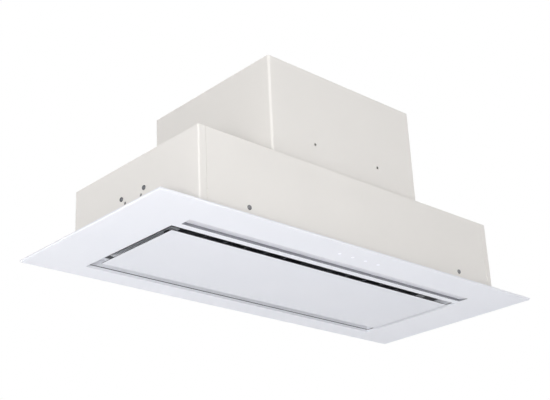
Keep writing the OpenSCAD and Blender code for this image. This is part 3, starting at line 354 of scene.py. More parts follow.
# finishes of single pieces or of some of their faces: the coated sheet's cut edges are dark grey, a bare cut
# edge darkened further as painted shade of the gaps and the light slot, and its folded rim is greyer as
# painted shade where the lamps fall strongly;
# the outer screws are greyed or blackened zinc, the filter rails are coated white, and the panel's coat is a
# touch greyer than the plate's
darkZinc = brushedMetal("blackZincPlatedSteel", "#6a6b6e", "#5a5b5e", 0.4, 0.6, "Z")
greyZinc = brushedMetal("greyZincPlatedSteel", "#808082", "#727375", 0.4, 0.6, "Z")
# dark grey for upright cut edges: bare cut steel, darkened into painted shade of the gaps and the slot's
# recess
cutEdgePaintedShade = powderCoat("dullCutSheetEdge", "#434447", "#3b3c3f", 0.6)
# greyer white for the rim's outer side and bend: painted shade that dims the rim where the lamps light it
# strongly
rimPaintedShadeCoat = powderCoat("thinCoatOnFoldedRim", "#e7e8ed", "#e2e3e9", 0.56)
paleRail = powderCoat("paleRailCoat", "#eef0f4", "#e8eaef", 0.5)
panelCoat = powderCoat("greyerWhitePanelCoat", "#e6e7ed", "#e0e2e9", 0.56)
slotOf = {part["node"]: part["material_slot"] for part in frame["record"]["subparts"]}


def finishOf(node):
    return finishes[slotOf[node]]


for node, part in frame["nodes"].items():
    part.data.materials.clear()
    part.data.materials.append(finishOf(node))
print("finishes ready:", len(finishes))


# how a finished mesh becomes a piece

def pieceName(node):
    first, *rest = node.split("_")
    return first + "".join(word.capitalize() for word in rest)


def addPiece(node, mesh):
    # the piece that stands for a CAD node, rides on its body and takes its finish
    mesh.name = pieceName(node)
    piece = addObject(pieceName(node), mesh)
    if not len(mesh.materials):
        mesh.materials.append(finishOf(node))
    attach(piece, frame["nodes"][node]["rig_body"])
    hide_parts(node)
    return piece


# shared ways of making a mesh

meshRules = {
    "merge": 0.002 * mm,  # doubled points of the CAD mesh lie closer than this
    "flat": math.radians(0.6),  # faces that differ by less than this are one face
    "sharp": math.radians(40),  # edges that turn by more than this are rounded
    "arcSteps": 3,
    "arcReach": 0.45,  # share of an edge that one corner's round may take
}
flatShading = ("WEIGHTED_NORMAL", {"keep_sharp": False, "weight": 60})


def keepMesh(work):
    # the mesh that was worked on, with smooth faces
    for face in work.faces:
        face.smooth = True
    mesh = bpy.data.meshes.new("work")
    work.to_mesh(mesh)
    work.free()
    return mesh


def cleanCopy(node):
    # the node's mesh with its loose triangles merged and its flat faces whole again
    work = bmesh.new()
    work.from_mesh(frame["nodes"][node].data)
    bmesh.ops.remove_doubles(work, verts=work.verts, dist=meshRules["merge"])
    bmesh.ops.dissolve_limit(work, angle_limit=meshRules["flat"], verts=work.verts, edges=work.edges)
    return work


def finishedMesh(holder):
    # what the holder's modifiers make of its mesh; the holder itself isn't kept
    result = bpy.data.meshes.new_from_object(holder.evaluated_get(bpy.context.evaluated_depsgraph_get()))
    bpy.data.objects.remove(holder)
    return result


def changedMesh(mesh, *modifiers):
    holder = addObject("holder", mesh)
    for kind, settings in modifiers:
        modifier = holder.modifiers.new(kind.lower(), kind)
        for key, value in settings.items():
            setattr(modifier, key, value)
    return finishedMesh(holder)


def easedMesh(node, width, widthAt=None):
    # a CAD node with its sharp edges rounded as a press brake and a coat of paint leave them;
    # widthAt gives an edge its own width from its two ends
    work = cleanCopy(node)
    layer = work.edges.layers.float.new("bevel_weight_edge")
    wanted = {}
    for edge in work.edges:
        if len(edge.link_faces) == 2 and edge.calc_face_angle(0) > meshRules["sharp"]:
            own = widthAt(edge.verts[0].co, edge.verts[1].co) if widthAt else None
            wanted[edge] = own or width
    widest = max([width, *wanted.values()])
    for edge, value in wanted.items():
        edge[layer] = value / widest
    rounds = {"width": widest * mm, "segments": 2, "limit_method": "WEIGHT", "use_clamp_overlap": False}
    return changedMesh(keepMesh(work), ("BEVEL", rounds), flatShading)


def eased(mesh, width):
    # the same for a mesh made here, with one width for all its sharp edges
    rounds = {"width": width * mm, "segments": 2, "limit_method": "ANGLE",
              "angle_limit": meshRules["sharp"], "use_clamp_overlap": True}
    return changedMesh(mesh, ("BEVEL", rounds), flatShading)


def joinMeshes(meshes):
    work = bmesh.new()
    for mesh in meshes:
        work.from_mesh(mesh)
    return keepMesh(work)


def roundCorners(outline, radius):
    # a closed outline in millimetres with an arc at each corner; a third value is a corner's own radius
    rounded = []
    for i, corner in enumerate(outline):
        spot = Vector(corner[:2])
        before = Vector(outline[i - 1][:2]) - spot
        after = Vector(outline[(i + 1) % len(outline)][:2]) - spot
        own = corner[2] if len(corner) > 2 else radius
        if own == 0 or spot.x == 0:
            rounded.append(spot)
            continue
        longest = meshRules["arcReach"] * min(before.length, after.length)
        reach = min(own / math.tan(before.angle(after) / 2), longest)
        start = spot + before.normalized() * reach
        end = spot + after.normalized() * reach
        for k in range(meshRules["arcSteps"] + 1):
            u = k / meshRules["arcSteps"]
            rounded.append((1 - u) ** 2 * start + 2 * u * (1 - u) * spot + u * u * end)
    return rounded


def latheMesh(outline, corner, base, axis, steps):
    # a closed outline of (radius, height) in millimetres, its corners rounded, turned about an axis
    # through base
    toFrame = Matrix(((0, 0, 1), (1, 0, 0), (0, 1, 0))) if axis == "X" else Matrix.Identity(3)
    work = bmesh.new()
    rings = []
    for radius, height in roundCorners(outline, corner):
        ring = []
        for k in range(1 if radius == 0 else steps):
            angle = 2 * math.pi * k / steps
            spot = Vector((radius * math.cos(angle), radius * math.sin(angle), height))
            ring.append(work.verts.new(base + toFrame @ spot * mm))
        rings.append(ring)
    for one, two in zip(rings, rings[1:] + rings[:1]):
        for k in range(steps):
            m = (k + 1) % steps
            loop = [one[k % len(one)], one[m % len(one)], two[m % len(two)], two[k % len(two)]]
            loop = list(dict.fromkeys(loop))
            if len(loop) > 2:
                work.faces.new(loop)
    bmesh.ops.recalc_face_normals(work, faces=work.faces)
    return keepMesh(work)


def blocksMesh(blocks):
    # blocks given by their lowest and highest corners in metres
    work = bmesh.new()
    for low, high in blocks:
        for vert in bmesh.ops.create_cube(work, size=1)["verts"]:
            vert.co = [low[k] if vert.co[k] < 0 else high[k] for k in range(3)]
    return keepMesh(work)


def solidsOf(node):
    # the points of each separate solid in a node; a solid's list grows while it is gone through
    work = cleanCopy(node)
    solids = []
    seen = set()
    for first in work.verts:
        if first in seen:
            continue
        solid = [first]
        seen.add(first)
        for vert in solid:
            beside = [edge.other_vert(vert) for edge in vert.link_edges]
            solid += [other for other in beside if other not in seen]
            seen.update(beside)
        solids.append([vert.co.copy() for vert in solid])
    work.free()
    return solids


# shared ways of growing a mesh with geometry nodes

socketKinds = {int: "NodeSocketInt", float: "NodeSocketFloat", tuple: "NodeSocketVector"}


def growingTree(build, sizes):
    # a geometry tree whose inputs are the mesh, the given sizes and the finish; build adds what
    # stands between them and gives back the parts to join
    tree = bpy.data.node_groups.new(build.__name__, "GeometryNodeTree")
    tree.is_modifier = True
    kinds = {key: socketKinds[type(size)] for key, size in sizes.items()}
    for key, kind in {"Geometry": "NodeSocketGeometry", **kinds, "Finish": "NodeSocketMaterial"}.items():
        tree.interface.new_socket(key, in_out="INPUT", socket_type=kind)
    tree.interface.new_socket("Geometry", in_out="OUTPUT", socket_type="NodeSocketGeometry")
    given = addNode(tree, "NodeGroupInput").outputs
    whole = outOf(tree, "GeometryNodeJoinGeometry", {"Geometry": build(tree, given)})
    real = outOf(tree, "GeometryNodeRealizeInstances", {"Geometry": whole})
    smooth = outOf(tree, "GeometryNodeSetShadeSmooth", {"Geometry": real})
    done = outOf(tree, "GeometryNodeSetMaterial", {"Geometry": smooth, "Material": given["Finish"]})
    addNode(tree, "NodeGroupOutput", {"Geometry": done})
    return tree


grownTrees = {}


def growMesh(node, build, mesh, sizes, finish=None):
    # a mesh for a CAD node, grown from the given one by a build function's tree
    if build not in grownTrees:
        grownTrees[build] = growingTree(build, sizes)
    holder = addObject("holder", mesh)
    modifier = holder.modifiers.new("grow", "NODES")
    modifier.node_group = grownTrees[build]
    inputs = [item for item in modifier.node_group.interface.items_tree if item.in_out == "INPUT"]
    sockets = {item.name: item.identifier for item in inputs}
    for key, value in {**sizes, "Finish": finish or finishOf(node)}.items():
        modifier[sockets[key]] = value
    return finishedMesh(holder)


def sweptStrip(tree, curve, width, height):
    # a rectangle swept along a level curve
    level = outOf(tree, "GeometryNodeSetCurveNormal", {"Curve": curve}, mode="Z_UP")
    section = outOf(tree, "GeometryNodeCurvePrimitiveQuadrilateral", {"Width": width, "Height": height})
    return outOf(tree, "GeometryNodeCurveToMesh", {
        "Curve": level, "Profile Curve": section, "Fill Caps": True})


def roundAxis(tree, count, shape, middle, turn):
    # copies of a shape at even angles about the Z axis, then turned and set at their middle
    points = outOf(tree, "GeometryNodePoints", {"Count": count})
    index = outOf(tree, "GeometryNodeInputIndex")
    step = outOf(tree, "ShaderNodeMath", {0: 2 * math.pi, 1: count}, operation="DIVIDE")
    angle = outOf(tree, "ShaderNodeMath", {0: index, 1: step}, operation="MULTIPLY")
    each = outOf(tree, "FunctionNodeAxisAngleToRotation", {"Axis": (0, 0, 1), "Angle": angle})
    ring = outOf(tree, "GeometryNodeInstanceOnPoints", {
        "Points": points, "Instance": shape, "Rotation": each})
    return outOf(tree, "GeometryNodeTransform", {"Geometry": ring, "Translation": middle, "Rotation": turn})


# screws: a domed pan head with a cross recess and a threaded shank, on each seat of the CAD node

screwLook = {
    "nodes": ["front_screws", "side_screws", "box_screws", "collar_screws", "scroll_screws"],
    "finish": {"front_screws": greyZinc, "side_screws": darkZinc},
    "headSides": 32,
    "headRings": 7,
    "dome": (3.0, 0.82),  # how late and how far the head draws in towards its top
    "cross": (1.15, 0.24),  # length and width of the recess's bars, as shares of the head's radius
    "shankSides": 14,
    "threadPitch": 0.7,  # millimetres
    "threadRings": 4,  # to each turn of the thread
    "threadDepth": 0.07,  # as a share of the shank's radius
    "point": 0.45,  # radius of the shank's end, as a share of the shank's radius
    "headShare": 0.9,  # points farther out than this share of the radius belong to the head
}


def crossHeadScrew(tree, given):
    look = screwLook
    spot = outOf(tree, "GeometryNodeInputPosition")
    z = addNode(tree, "ShaderNodeSeparateXYZ", {0: spot}).outputs["Z"]

    def rod(sides, rings, radius, length, rise):
        # stands on the seat, or hangs from it where rise is negative
        can = outOf(tree, "GeometryNodeMeshCylinder", {
            "Vertices": sides, "Side Segments": rings, "Radius": radius, "Depth": length})
        up = outOf(tree, "ShaderNodeMath", {0: length, 1: rise}, operation="MULTIPLY")
        place = outOf(tree, "ShaderNodeCombineXYZ", {"Z": up})
        return outOf(tree, "GeometryNodeTransform", {"Geometry": can, "Translation": place})

    def drawnIn(shape, share):
        # each point goes to the given share of its distance from the axis
        shares = outOf(tree, "ShaderNodeCombineXYZ", {"X": share, "Y": share, "Z": 1.0})
        place = outOf(tree, "ShaderNodeVectorMath", {0: spot, 1: shares}, operation="MULTIPLY")
        return outOf(tree, "GeometryNodeSetPosition", {"Geometry": shape, "Position": place})

    # head: a cylinder whose rings draw in towards the top
    radius, height = given["Head Radius"], given["Head Height"]
    late, far = look["dome"]
    rise = outOf(tree, "ShaderNodeMath", {0: z, 1: height}, operation="DIVIDE")
    bend = outOf(tree, "ShaderNodeMath", {0: rise, 1: late}, operation="POWER")
    fall = outOf(tree, "ShaderNodeMath", {0: bend, 1: far}, operation="MULTIPLY")
    rest = outOf(tree, "ShaderNodeMath", {0: 1.0, 1: fall}, operation="SUBTRACT")
    dome = outOf(tree, "ShaderNodeMath", {0: rest}, operation="SQRT")
    head = drawnIn(rod(look["headSides"], look["headRings"], radius, height, 0.5), dome)

    # cross recess, two bars let into the dome
    reach, width = (outOf(tree, "ShaderNodeMath", {0: radius, 1: share}, operation="MULTIPLY")
                    for share in look["cross"])
    top = outOf(tree, "ShaderNodeCombineXYZ", {"Z": height})
    bars = []
    for long, short in ("XY", "YX"):
        size = outOf(tree, "ShaderNodeCombineXYZ", {long: reach, short: width, "Z": height})
        bar = outOf(tree, "GeometryNodeMeshCube", {"Size": size})
        bars.append(outOf(tree, "GeometryNodeTransform", {"Geometry": bar, "Translation": top}))
    head = outOf(tree, "GeometryNodeMeshBoolean", {"Mesh 1": head, "Mesh 2": bars},
                 operation="DIFFERENCE", solver="EXACT")

    # shank with its thread as rings, and a short point
    radius, length = given["Shank Radius"], given["Length"]
    deep = look["threadDepth"]
    turns = outOf(tree, "ShaderNodeMath", {0: z, 1: given["Thread Pitch"]}, operation="DIVIDE")
    angle = outOf(tree, "ShaderNodeMath", {0: turns, 1: 2 * math.pi}, operation="MULTIPLY")
    wave = outOf(tree, "ShaderNodeMath", {0: angle}, operation="COSINE")
    thread = outOf(tree, "ShaderNodeMath", {0: wave, 1: deep, 2: 1 - deep}, operation="MULTIPLY_ADD")
    above = outOf(tree, "ShaderNodeMath", {0: z, 1: length}, operation="ADD")
    share = outOf(tree, "ShaderNodeMath", {0: above, 1: radius}, operation="DIVIDE")
    cone = outOf(tree, "ShaderNodeMath", {0: share, 1: look["point"]}, operation="ADD")
    point = outOf(tree, "ShaderNodeMath", {0: cone, 1: 1.0}, operation="MINIMUM")
    slim = outOf(tree, "ShaderNodeMath", {0: thread, 1: point}, operation="MULTIPLY")
    shank = drawnIn(rod(look["shankSides"], given["Thread Rings"], radius, length, -0.5), slim)

    screw = outOf(tree, "GeometryNodeJoinGeometry", {"Geometry": [head, shank]})
    aim = outOf(tree, "GeometryNodeInputNamedAttribute", {"Name": "aim"}, data_type="FLOAT_VECTOR")
    turn = outOf(tree, "FunctionNodeAlignRotationToVector", {"Vector": aim}, axis="Z")
    return [outOf(tree, "GeometryNodeInstanceOnPoints", {
        "Points": given["Geometry"], "Instance": screw, "Rotation": turn})]


def screwSeat(points):
    # seat, direction of the head and sizes of one screw, from the points of its solid;
    # the axes across it are the two before its long one, counted round
    low = Vector([min(p[k] for p in points) for k in range(3)])
    high = Vector([max(p[k] for p in points) for k in range(3)])
    long = max(range(3), key=lambda k: high[k] - low[k])
    middle = (low + high) / 2
    radius = (high - low)[long - 1] / 2
    reach = [math.hypot((p - middle)[long - 1], (p - middle)[long - 2]) for p in points]
    far = [p[long] for p, r in zip(points, reach) if r > screwLook["headShare"] * radius]
    sign = 1 if max(far) > middle[long] else -1
    tip = (low if sign > 0 else high)[long]
    seat = middle.copy()
    seat[long] = min(far) if sign > 0 else max(far)
    aim = Vector([sign if k == long else 0 for k in range(3)])
    return seat, aim, {
        "Head Radius": radius, "Head Height": max(far) - min(far),
        "Shank Radius": max(r for p, r in zip(points, reach) if abs(p[long] - tip) < hair),
        "Length": abs(tip - seat[long])}


for node in screwLook["nodes"]:
    seats, aims, sizes = zip(*(screwSeat(points) for points in solidsOf(node)))
    spots = bpy.data.meshes.new(pieceName(node) + "Seats")
    spots.from_pydata(seats, [], [])
    for mark, aim in zip(spots.attributes.new("aim", "FLOAT_VECTOR", "POINT").data, aims):
        mark.vector = aim
    pitch = screwLook["threadPitch"] * mm
    rings = int(screwLook["threadRings"] * sizes[0]["Length"] / pitch)
    addPiece(node, growMesh(node, crossHeadScrew, spots, {
        **sizes[0], "Thread Pitch": pitch, "Thread Rings": rings}, screwLook["finish"].get(node)))
print("screws ready")


# sheet metal and plain moulded parts, each with the width in millimetres of the round on its edges

plainEdges = {
    "lip_seal": 0.5, "suction_tray": 0.3, "end_panel_left": 0.3, "end_panel_right": 0.3,
    "body_front_panel": 0.25, "body_rear_panel": 0.25, "body_top_panel": 0.3, "motor_box_shell": 0.3,
    "motor_box_rear": 0.3, "motor_box_top": 0.3, "light_profile": 0.2, "light_cover": 0.4,
    "touch_keys": 0.3, "touch_board": 0.25, "filter_frame_left": 0.8, "filter_frame_right": 0.8,
    "filter_latch_left": 0.5, "filter_latch_right": 0.5, "end_baffle_left": 0.25,
    "end_baffle_right": 0.25, "filter_rails": 0.3, "magnet_catches": 0.6, "keeper_plates": 0.25,
    "panel_carrier": 0.35, "hinge_brackets": 0.3, "hinge_arms": 0.4, "hinge_pins": 0.4,
    "nut_plates": 0.4, "damper_flap_front": 0.3, "damper_flap_rear": 0.3, "damper_pin": 0.3,
    "scroll_left": 0.5, "scroll_right": 0.5, "motor_shaft": 0.5, "motor_bracket": 0.4,
    "capacitor_clip": 0.3, "control_box": 0.6, "control_box_lid": 0.6, "terminal_block": 0.5,
}
plateLook = {
    "edge": 0.25,
    "rimBend": 1.1,  # round of the rim's outer bends, which are softer than the cut edges
    "rimInset": (1.2, 1.2, -5),  # everything farther out than this is the rim's outer side and its bend
    "bendLean": 0.95,  # flat faces lean more than this
    "slotMargin": (6, 6, 5),  # round the light cover, far enough to reach the slot's cut edges
    "sideLean": 0.5,  # upright faces lean less than this
}
panelLook = {"edge": 0.15}
plateLow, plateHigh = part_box("frame_plate")


def rimWidth(a, b):
    onRim = [abs(abs(p.x) - plateHigh.x) < hair or abs(abs(p.y) - plateHigh.y) < hair for p in (a, b)]
    flat = abs(a.z - b.z) < hair
    return plateLook["rimBend"] if all(onRim) and flat else None


def refinish(piece, finish, low, high, lean, outside=False):
    # faces of the sheet within a box, or outside it, take another finish, if they lean less than told
    piece.data.materials.append(finish)
    for face in piece.data.polygons:
        inside = all(low[k] < face.center[k] < high[k] for k in range(3))
        if inside != outside and abs(face.normal.z) < lean:
            face.material_index = len(piece.data.materials) - 1


def dressPlate():
    plate = addPiece("frame_plate", easedMesh("frame_plate", plateLook["edge"], rimWidth))
    slotLow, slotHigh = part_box("light_cover")
    margin, inset = (Vector(metres(plateLook[key])) for key in ("slotMargin", "rimInset"))
    # the light slot's cut edges go dark grey, as painted shade of the slot's recess
    refinish(plate, cutEdgePaintedShade, slotLow - margin, slotHigh + margin, plateLook["sideLean"])
    # the rim's outer side and bend go greyer, as painted shade
    refinish(plate, rimPaintedShadeCoat, plateLow + inset, plateHigh - inset, plateLook["bendLean"], outside=True)


def dressPanel():
    panel = addPiece("suction_panel", easedMesh("suction_panel", panelLook["edge"]))
    panel.data.materials[0] = panelCoat
    # the panel's upright cut edges go dark grey, as painted shade of the gap round the panel
    refinish(panel, cutEdgePaintedShade, plateLow, plateHigh, plateLook["sideLean"])


dressPlate()
dressPanel()
for node, width in plainEdges.items():
    piece = addPiece(node, easedMesh(node, width))
    if node == "filter_rails":
        piece.data.materials[0] = paleRail
print("sheet metal ready")


# grease filters: expanded aluminium strands on both faces of a dark pack, with stiffening ribs

meshLook = {
    "rowPitch": 4.2,  # millimetres between the strands' middle lines
    "sway": 0.46,  # how far a strand leaves its middle line, as a share of the pitch
    "cell": 4.6,  # length of one leg of the zigzag
    "strand": (1.1, 0.5),  # width and thickness of a strand
    "sill": 2,  # the pack starts this far above the frame's underside
    "ribs": 5,
    "ribWidth": 2.4,
}


def expandedMesh(tree, given):
    pitch = given["Row Pitch"]
    end = outOf(tree, "ShaderNodeCombineXYZ", {"X": given["Length"]})
    line = outOf(tree, "GeometryNodeCurvePrimitiveLine", {"End": end})
    points = outOf(tree, "GeometryNodeResampleCurve", {"Curve": line, "Count": given["Cells"]})
    # every other point goes to the other side of the middle line
    index = outOf(tree, "GeometryNodeInputIndex")
    odd = outOf(tree, "ShaderNodeMath", {0: index, 1: 2.0}, operation="MODULO")
    side = outOf(tree, "ShaderNodeMath", {0: odd, 1: -2.0, 2: 1.0}, operation="MULTIPLY_ADD")
    reach = outOf(tree, "ShaderNodeMath", {0: pitch, 1: meshLook["sway"]}, operation="MULTIPLY")
    sway = outOf(tree, "ShaderNodeMath", {0: side, 1: reach}, operation="MULTIPLY")
    offset = outOf(tree, "ShaderNodeCombineXYZ", {"Y": sway})
    zigzag = outOf(tree, "GeometryNodeSetPosition", {"Geometry": points, "Offset": offset})
    # every other row is mirrored, so that the strands meet
    step = outOf(tree, "ShaderNodeCombineXYZ", {"Y": pitch})
    rows = outOf(tree, "GeometryNodeMeshLine", {
        "Count": given["Rows"], "Start Location": given["Corner"], "Offset": step})
    mirror = outOf(tree, "ShaderNodeCombineXYZ", {"X": 1.0, "Y": side, "Z": 1.0})
    many = outOf(tree, "GeometryNodeInstanceOnPoints", {"Points": rows, "Instance": zigzag, "Scale": mirror})
    real = outOf(tree, "GeometryNodeRealizeInstances", {"Geometry": many})
    lower = sweptStrip(tree, real, given["Strand Width"], given["Strand Height"])
    lift = outOf(tree, "ShaderNodeCombineXYZ", {"Z": given["Lift"]})
    upper = outOf(tree, "GeometryNodeTransform", {"Geometry": lower, "Translation": lift})
    return [given["Geometry"], lower, upper]


def filterMesh(side):
    node = "filter_mesh_" + side
    low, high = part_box(node)
    width, height = metres(meshLook["strand"])
    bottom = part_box("filter_frame_" + side)[0].z + meshLook["sill"] * mm
    pack = [((low.x, low.y, bottom + height), (high.x, high.y, high.z - height))]
    half = meshLook["ribWidth"] / 2 * mm
    for i in range(meshLook["ribs"]):
        middle = low.x + (high.x - low.x) * (i + 1) / (meshLook["ribs"] + 1)
        pack.append(((middle - half, low.y, low.z), (middle + half, high.y, bottom + height)))
    pitch = meshLook["rowPitch"] * mm
    rows = int((high.y - low.y) / pitch)
    margin = (high.y - low.y - (rows - 1) * pitch) / 2
    return growMesh(node, expandedMesh, blocksMesh(pack), {
        "Corner": (low.x, low.y + margin, bottom + height / 2), "Length": high.x - low.x,
        "Row Pitch": pitch, "Rows": rows, "Cells": int((high.x - low.x) / (meshLook["cell"] * mm)),
        "Strand Width": width, "Strand Height": height, "Lift": high.z - bottom - height})


for side in ("left", "right"):
    addPiece("filter_mesh_" + side, filterMesh(side))
print("filters ready")


# blower: curved blades between two rings, on a dished disc

shaftBore = 4.05  # radius in millimetres
impellerLook = {
    "blades": 36,
    "bladeDepth": 12,  # millimetres
    "bladeThickness": 1,
    "bladeTilt": 32,  # degrees off the radius
    "bladeCurve": 9,  # radius of a blade's curve
    "bladeInset": 0.4,  # from the rings' outer edge
    "arcPoints": 7,
    "ringHeight": 2.4,
    "ringRound": 0.8,
    "disc": [(shaftBore, -12), (10, -12), (12, -3), (22, -1.5), (40, -1.5), (46, -1), (62, -1),
             (62, 1), (46, 1), (40, 0.5), (22, 0.5), (12, 3), (10, 12), (shaftBore, 12)],
    "discRound": 1.5,
    "steps": 96,
    "edge": 0.15,
}


def bladeRing(tree, given):
    arc = outOf(tree, "GeometryNodeCurveArc", {
        "Resolution": impellerLook["arcPoints"], "Radius": given["Blade Curve"],
        "Start Angle": given["Blade Start"], "Sweep Angle": given["Blade Sweep"]})
    strip = sweptStrip(tree, arc, given["Blade Thickness"], given["Blade Width"])
    blade = outOf(tree, "GeometryNodeTransform", {"Geometry": strip, "Translation": given["Blade Place"]})
    return [given["Geometry"], roundAxis(tree, given["Blades"], blade, given["Middle"], (0, math.pi / 2, 0))]


def impellerMesh():
    look = impellerLook
    low, high, middle = boxOf("impeller")
    half = (high.x - low.x) / 2 / mm
    outer = (high.z - low.z) / 2 / mm
    inner = outer - look["bladeDepth"]
    ring = look["ringHeight"]
    parts = []
    for start in (-half, half - ring):
        outline = [(inner, start), (outer, start), (outer, start + ring), (inner, start + ring)]
        parts.append(latheMesh(outline, look["ringRound"], middle, "X", look["steps"]))
    parts.append(latheMesh(look["disc"], look["discRound"], middle, "X", look["steps"]))
    sweep = 2 * math.asin(look["bladeDepth"] / 2 / look["bladeCurve"])
    across = math.radians(look["bladeTilt"]) + math.pi / 2
    back = look["bladeCurve"] * math.cos(sweep / 2)
    reach = outer - look["bladeDepth"] / 2 - look["bladeInset"]
    grown = growMesh("impeller", bladeRing, joinMeshes(parts), {
        "Blades": look["blades"], "Blade Curve": look["bladeCurve"] * mm,
        "Blade Start": across - sweep / 2, "Blade Sweep": sweep,
        "Blade Place": (*metres((reach - back * math.cos(across), -back * math.sin(across))), 0.0),
        "Blade Thickness": look["bladeThickness"] * mm, "Blade Width": (2 * half - ring) * mm,
        "Middle": tuple(middle)})
    return eased(grown, look["edge"])


addPiece("impeller", impellerMesh())


# ribs or slots that repeat round an axis

def barRing(tree, given):
    bar = outOf(tree, "GeometryNodeMeshCube", {"Size": given["Bar Size"]})
    place = outOf(tree, "ShaderNodeCombineXYZ", {"X": given["Ring Radius"]})
    bar = outOf(tree, "GeometryNodeTransform", {"Geometry": bar, "Translation": place})
    turn = outOf(tree, "FunctionNodeEulerToRotation", {"Euler": given["Turn"]})
    return roundAxis(tree, given["Bars"], bar, given["Middle"], turn)


def ribRing(tree, given):
    return [given["Geometry"], barRing(tree, given)]


def slotRing(tree, given):
    bars = outOf(tree, "GeometryNodeRealizeInstances", {"Geometry": barRing(tree, given)})
    return [outOf(tree, "GeometryNodeMeshBoolean", {"Mesh 1": given["Geometry"], "Mesh 2": bars},
                  operation="DIFFERENCE", solver="EXACT")]


# motor: a pressed steel can with cooling slots and a clamp band, lengths in millimetres

motorLook = {
    "capStep": 8,
    "capLength": 12,
    "noseLength": 4,
    "noseSlope": 1,
    "bearing": 12,  # width of the bearing seat's wall
    "taper": 2,
    "bandStart": 14,
    "bandWidth": 8,
    "bandRise": 3,
    "slots": 12,
    "slotSize": (9, 3, 9),
    "round": 1.2,
    "steps": 72,
    "edge": 0.3,
}


def motorMesh():
    look = motorLook
    low, high, middle = boxOf("motor_housing")
    outer = (high.z - low.z) / 2 / mm - look["bandRise"]
    inner = outer - look["capStep"]
    length = (high.x - low.x) / mm
    nose, cap, taper = look["noseLength"], length - look["capLength"], look["taper"]
    crest = outer + look["bandRise"]
    start = look["bandStart"]
    end = start + look["bandWidth"]
    bearing = shaftBore + look["bearing"]
    outline = [(shaftBore, 0), (inner, 0), (inner, nose), (outer, nose + look["noseSlope"]),
               (outer, start), (crest, start), (crest, end), (outer, end), (outer, cap),
               (inner, cap + taper), (inner, length - taper), (bearing, length - taper),
               (bearing - taper, length), (shaftBore, length)]
    base = Vector((low.x, middle.y, middle.z))
    can = latheMesh(outline, look["round"], base, "X", look["steps"])
    grown = growMesh("motor_housing", slotRing, can, {
        "Bars": look["slots"], "Ring Radius": (inner + taper) * mm, "Bar Size": metres(look["slotSize"]),
        "Middle": (high.x - look["capLength"] * mm, middle.y, middle.z), "Turn": (0.0, math.pi / 2, 0.0)})
    return eased(grown, look["edge"])


addPiece("motor_housing", motorMesh())
print("blower ready")


# outlet collar: spigot with a rolled bead, flange and the ledge that the flaps rest on, in millimetres

collarLook = {
    "spigotRadius": 74.5,
    "wall": 1.5,
    "flange": 2,
    "flangeRounds": (0.4, 0.8),  # below and above
    "fillet": 1.5,
    "ledge": 3,
    "ledgeHeight": 2,
    "flapHalf": 1.05,  # from the pin's middle to the flaps' underside
    "beadTop": 8,  # from the spigot's end to the bead's middle
    "bead": 1.1,
    "beadFoot": 2,  # half the bead's width at its foot
    "beadCrest": 0.8,  # and at its crest, where it is also the round
    "round": 0.35,
    "steps": 120,
}


def collarMesh():
    look = collarLook
    low, high, middle = boxOf("outlet_collar")
    top = (high.z - low.z) / mm
    side = (high.x - low.x) / 2 / mm
    outer = look["spigotRadius"]
    inner = outer - look["wall"]
    ledge = inner - look["ledge"]
    seat = (boxOf("damper_pin")[2].z - low.z) / mm - look["flapHalf"]
    below = seat - look["ledgeHeight"]
    crest, foot, wide = look["beadCrest"], look["beadFoot"], outer + look["bead"]
    bead = top - look["beadTop"]
    flange = look["flange"]
    lowRound, highRound = look["flangeRounds"]
    outline = [(inner, 0), (side, 0, lowRound), (side, flange, highRound), (outer, flange, look["fillet"]),
               (outer, bead - foot, crest), (wide, bead - crest, crest), (wide, bead + crest, crest),
               (outer, bead + foot, crest), (outer, top), (inner, top), (inner, seat), (ledge, seat),
               (ledge, below), (inner, below)]
    base = Vector((middle.x, middle.y, low.z))
    return changedMesh(latheMesh(outline, look["round"], base, "Z", look["steps"]), flatShading)


addPiece("outlet_collar", collarMesh())


# cable gland: nut, hexagonal foot and a dome with grip ribs, in millimetres

glandLook = {
    "bore": 4.5,
    "stem": 8,
    "stemLength": 8,  # below the roof's sheet
    "skin": 1.2,  # thickness of the roof's sheet
    "foot": 12,
    "footHeight": 5,
    "nutHeight": 6,
    "chamfer": 0.8,  # on the corners of nut and foot
    "dome": 9.2,
    "domeTop": 4,
    "lip": (1.2, 1.0),  # width and round
    "ribs": 20,
    "ribSize": (1.0, 1.1, 8.0),
    "ribStart": 1,
    "round": 0.6,
    "steps": 48,
    "edge": 0.25,
}


def hexBlock(radius, base, height):
    # hexagonal block with its corners turned off, as on a nut
    flat = radius * math.cos(math.pi / 6)
    chamfer = glandLook["chamfer"]
    outline = [(0, 0), (flat, 0), (radius, chamfer), (radius, height - chamfer), (flat, height), (0, height)]
    return latheMesh(outline, 0, base, "Z", 6)


def glandMesh():
    look = glandLook
    high, middle = boxOf("cable_gland")[1:]
    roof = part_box("motor_box_top")[1].z
    total = (high.z - roof) / mm
    base = Vector((middle.x, middle.y, roof))
    bore, stem, dome, foot, nut = (look[key] for key in ("bore", "stem", "dome", "footHeight", "nutHeight"))
    depth = -look["stemLength"] - look["skin"]
    lip, lipRound = look["lip"]
    outline = [(bore, depth), (stem, depth), (stem, foot), (dome, foot), (dome, total - look["domeTop"]),
               (bore + lip, total, lipRound), (bore, total)]
    nutBase = base - Vector((0, 0, (nut + look["skin"]) * mm))
    solid = joinMeshes([
        latheMesh(outline, look["round"], base, "Z", look["steps"]),
        hexBlock(look["foot"], base, foot), hexBlock(look["foot"], nutBase, nut)])
    ribMiddle = roof + (foot + look["ribStart"] + look["ribSize"][2] / 2) * mm
    grown = growMesh("cable_gland", ribRing, solid, {
        "Bars": look["ribs"], "Ring Radius": dome * mm, "Bar Size": metres(look["ribSize"]),
        "Middle": (middle.x, middle.y, ribMiddle), "Turn": (0.0, 0.0, 0.0)})
    return eased(grown, look["edge"])


addPiece("cable_gland", glandMesh())
print("outlet and gland ready")


# capacitor: a rolled can with a crimped lid, two blade terminals and its fixing stud, in millimetres

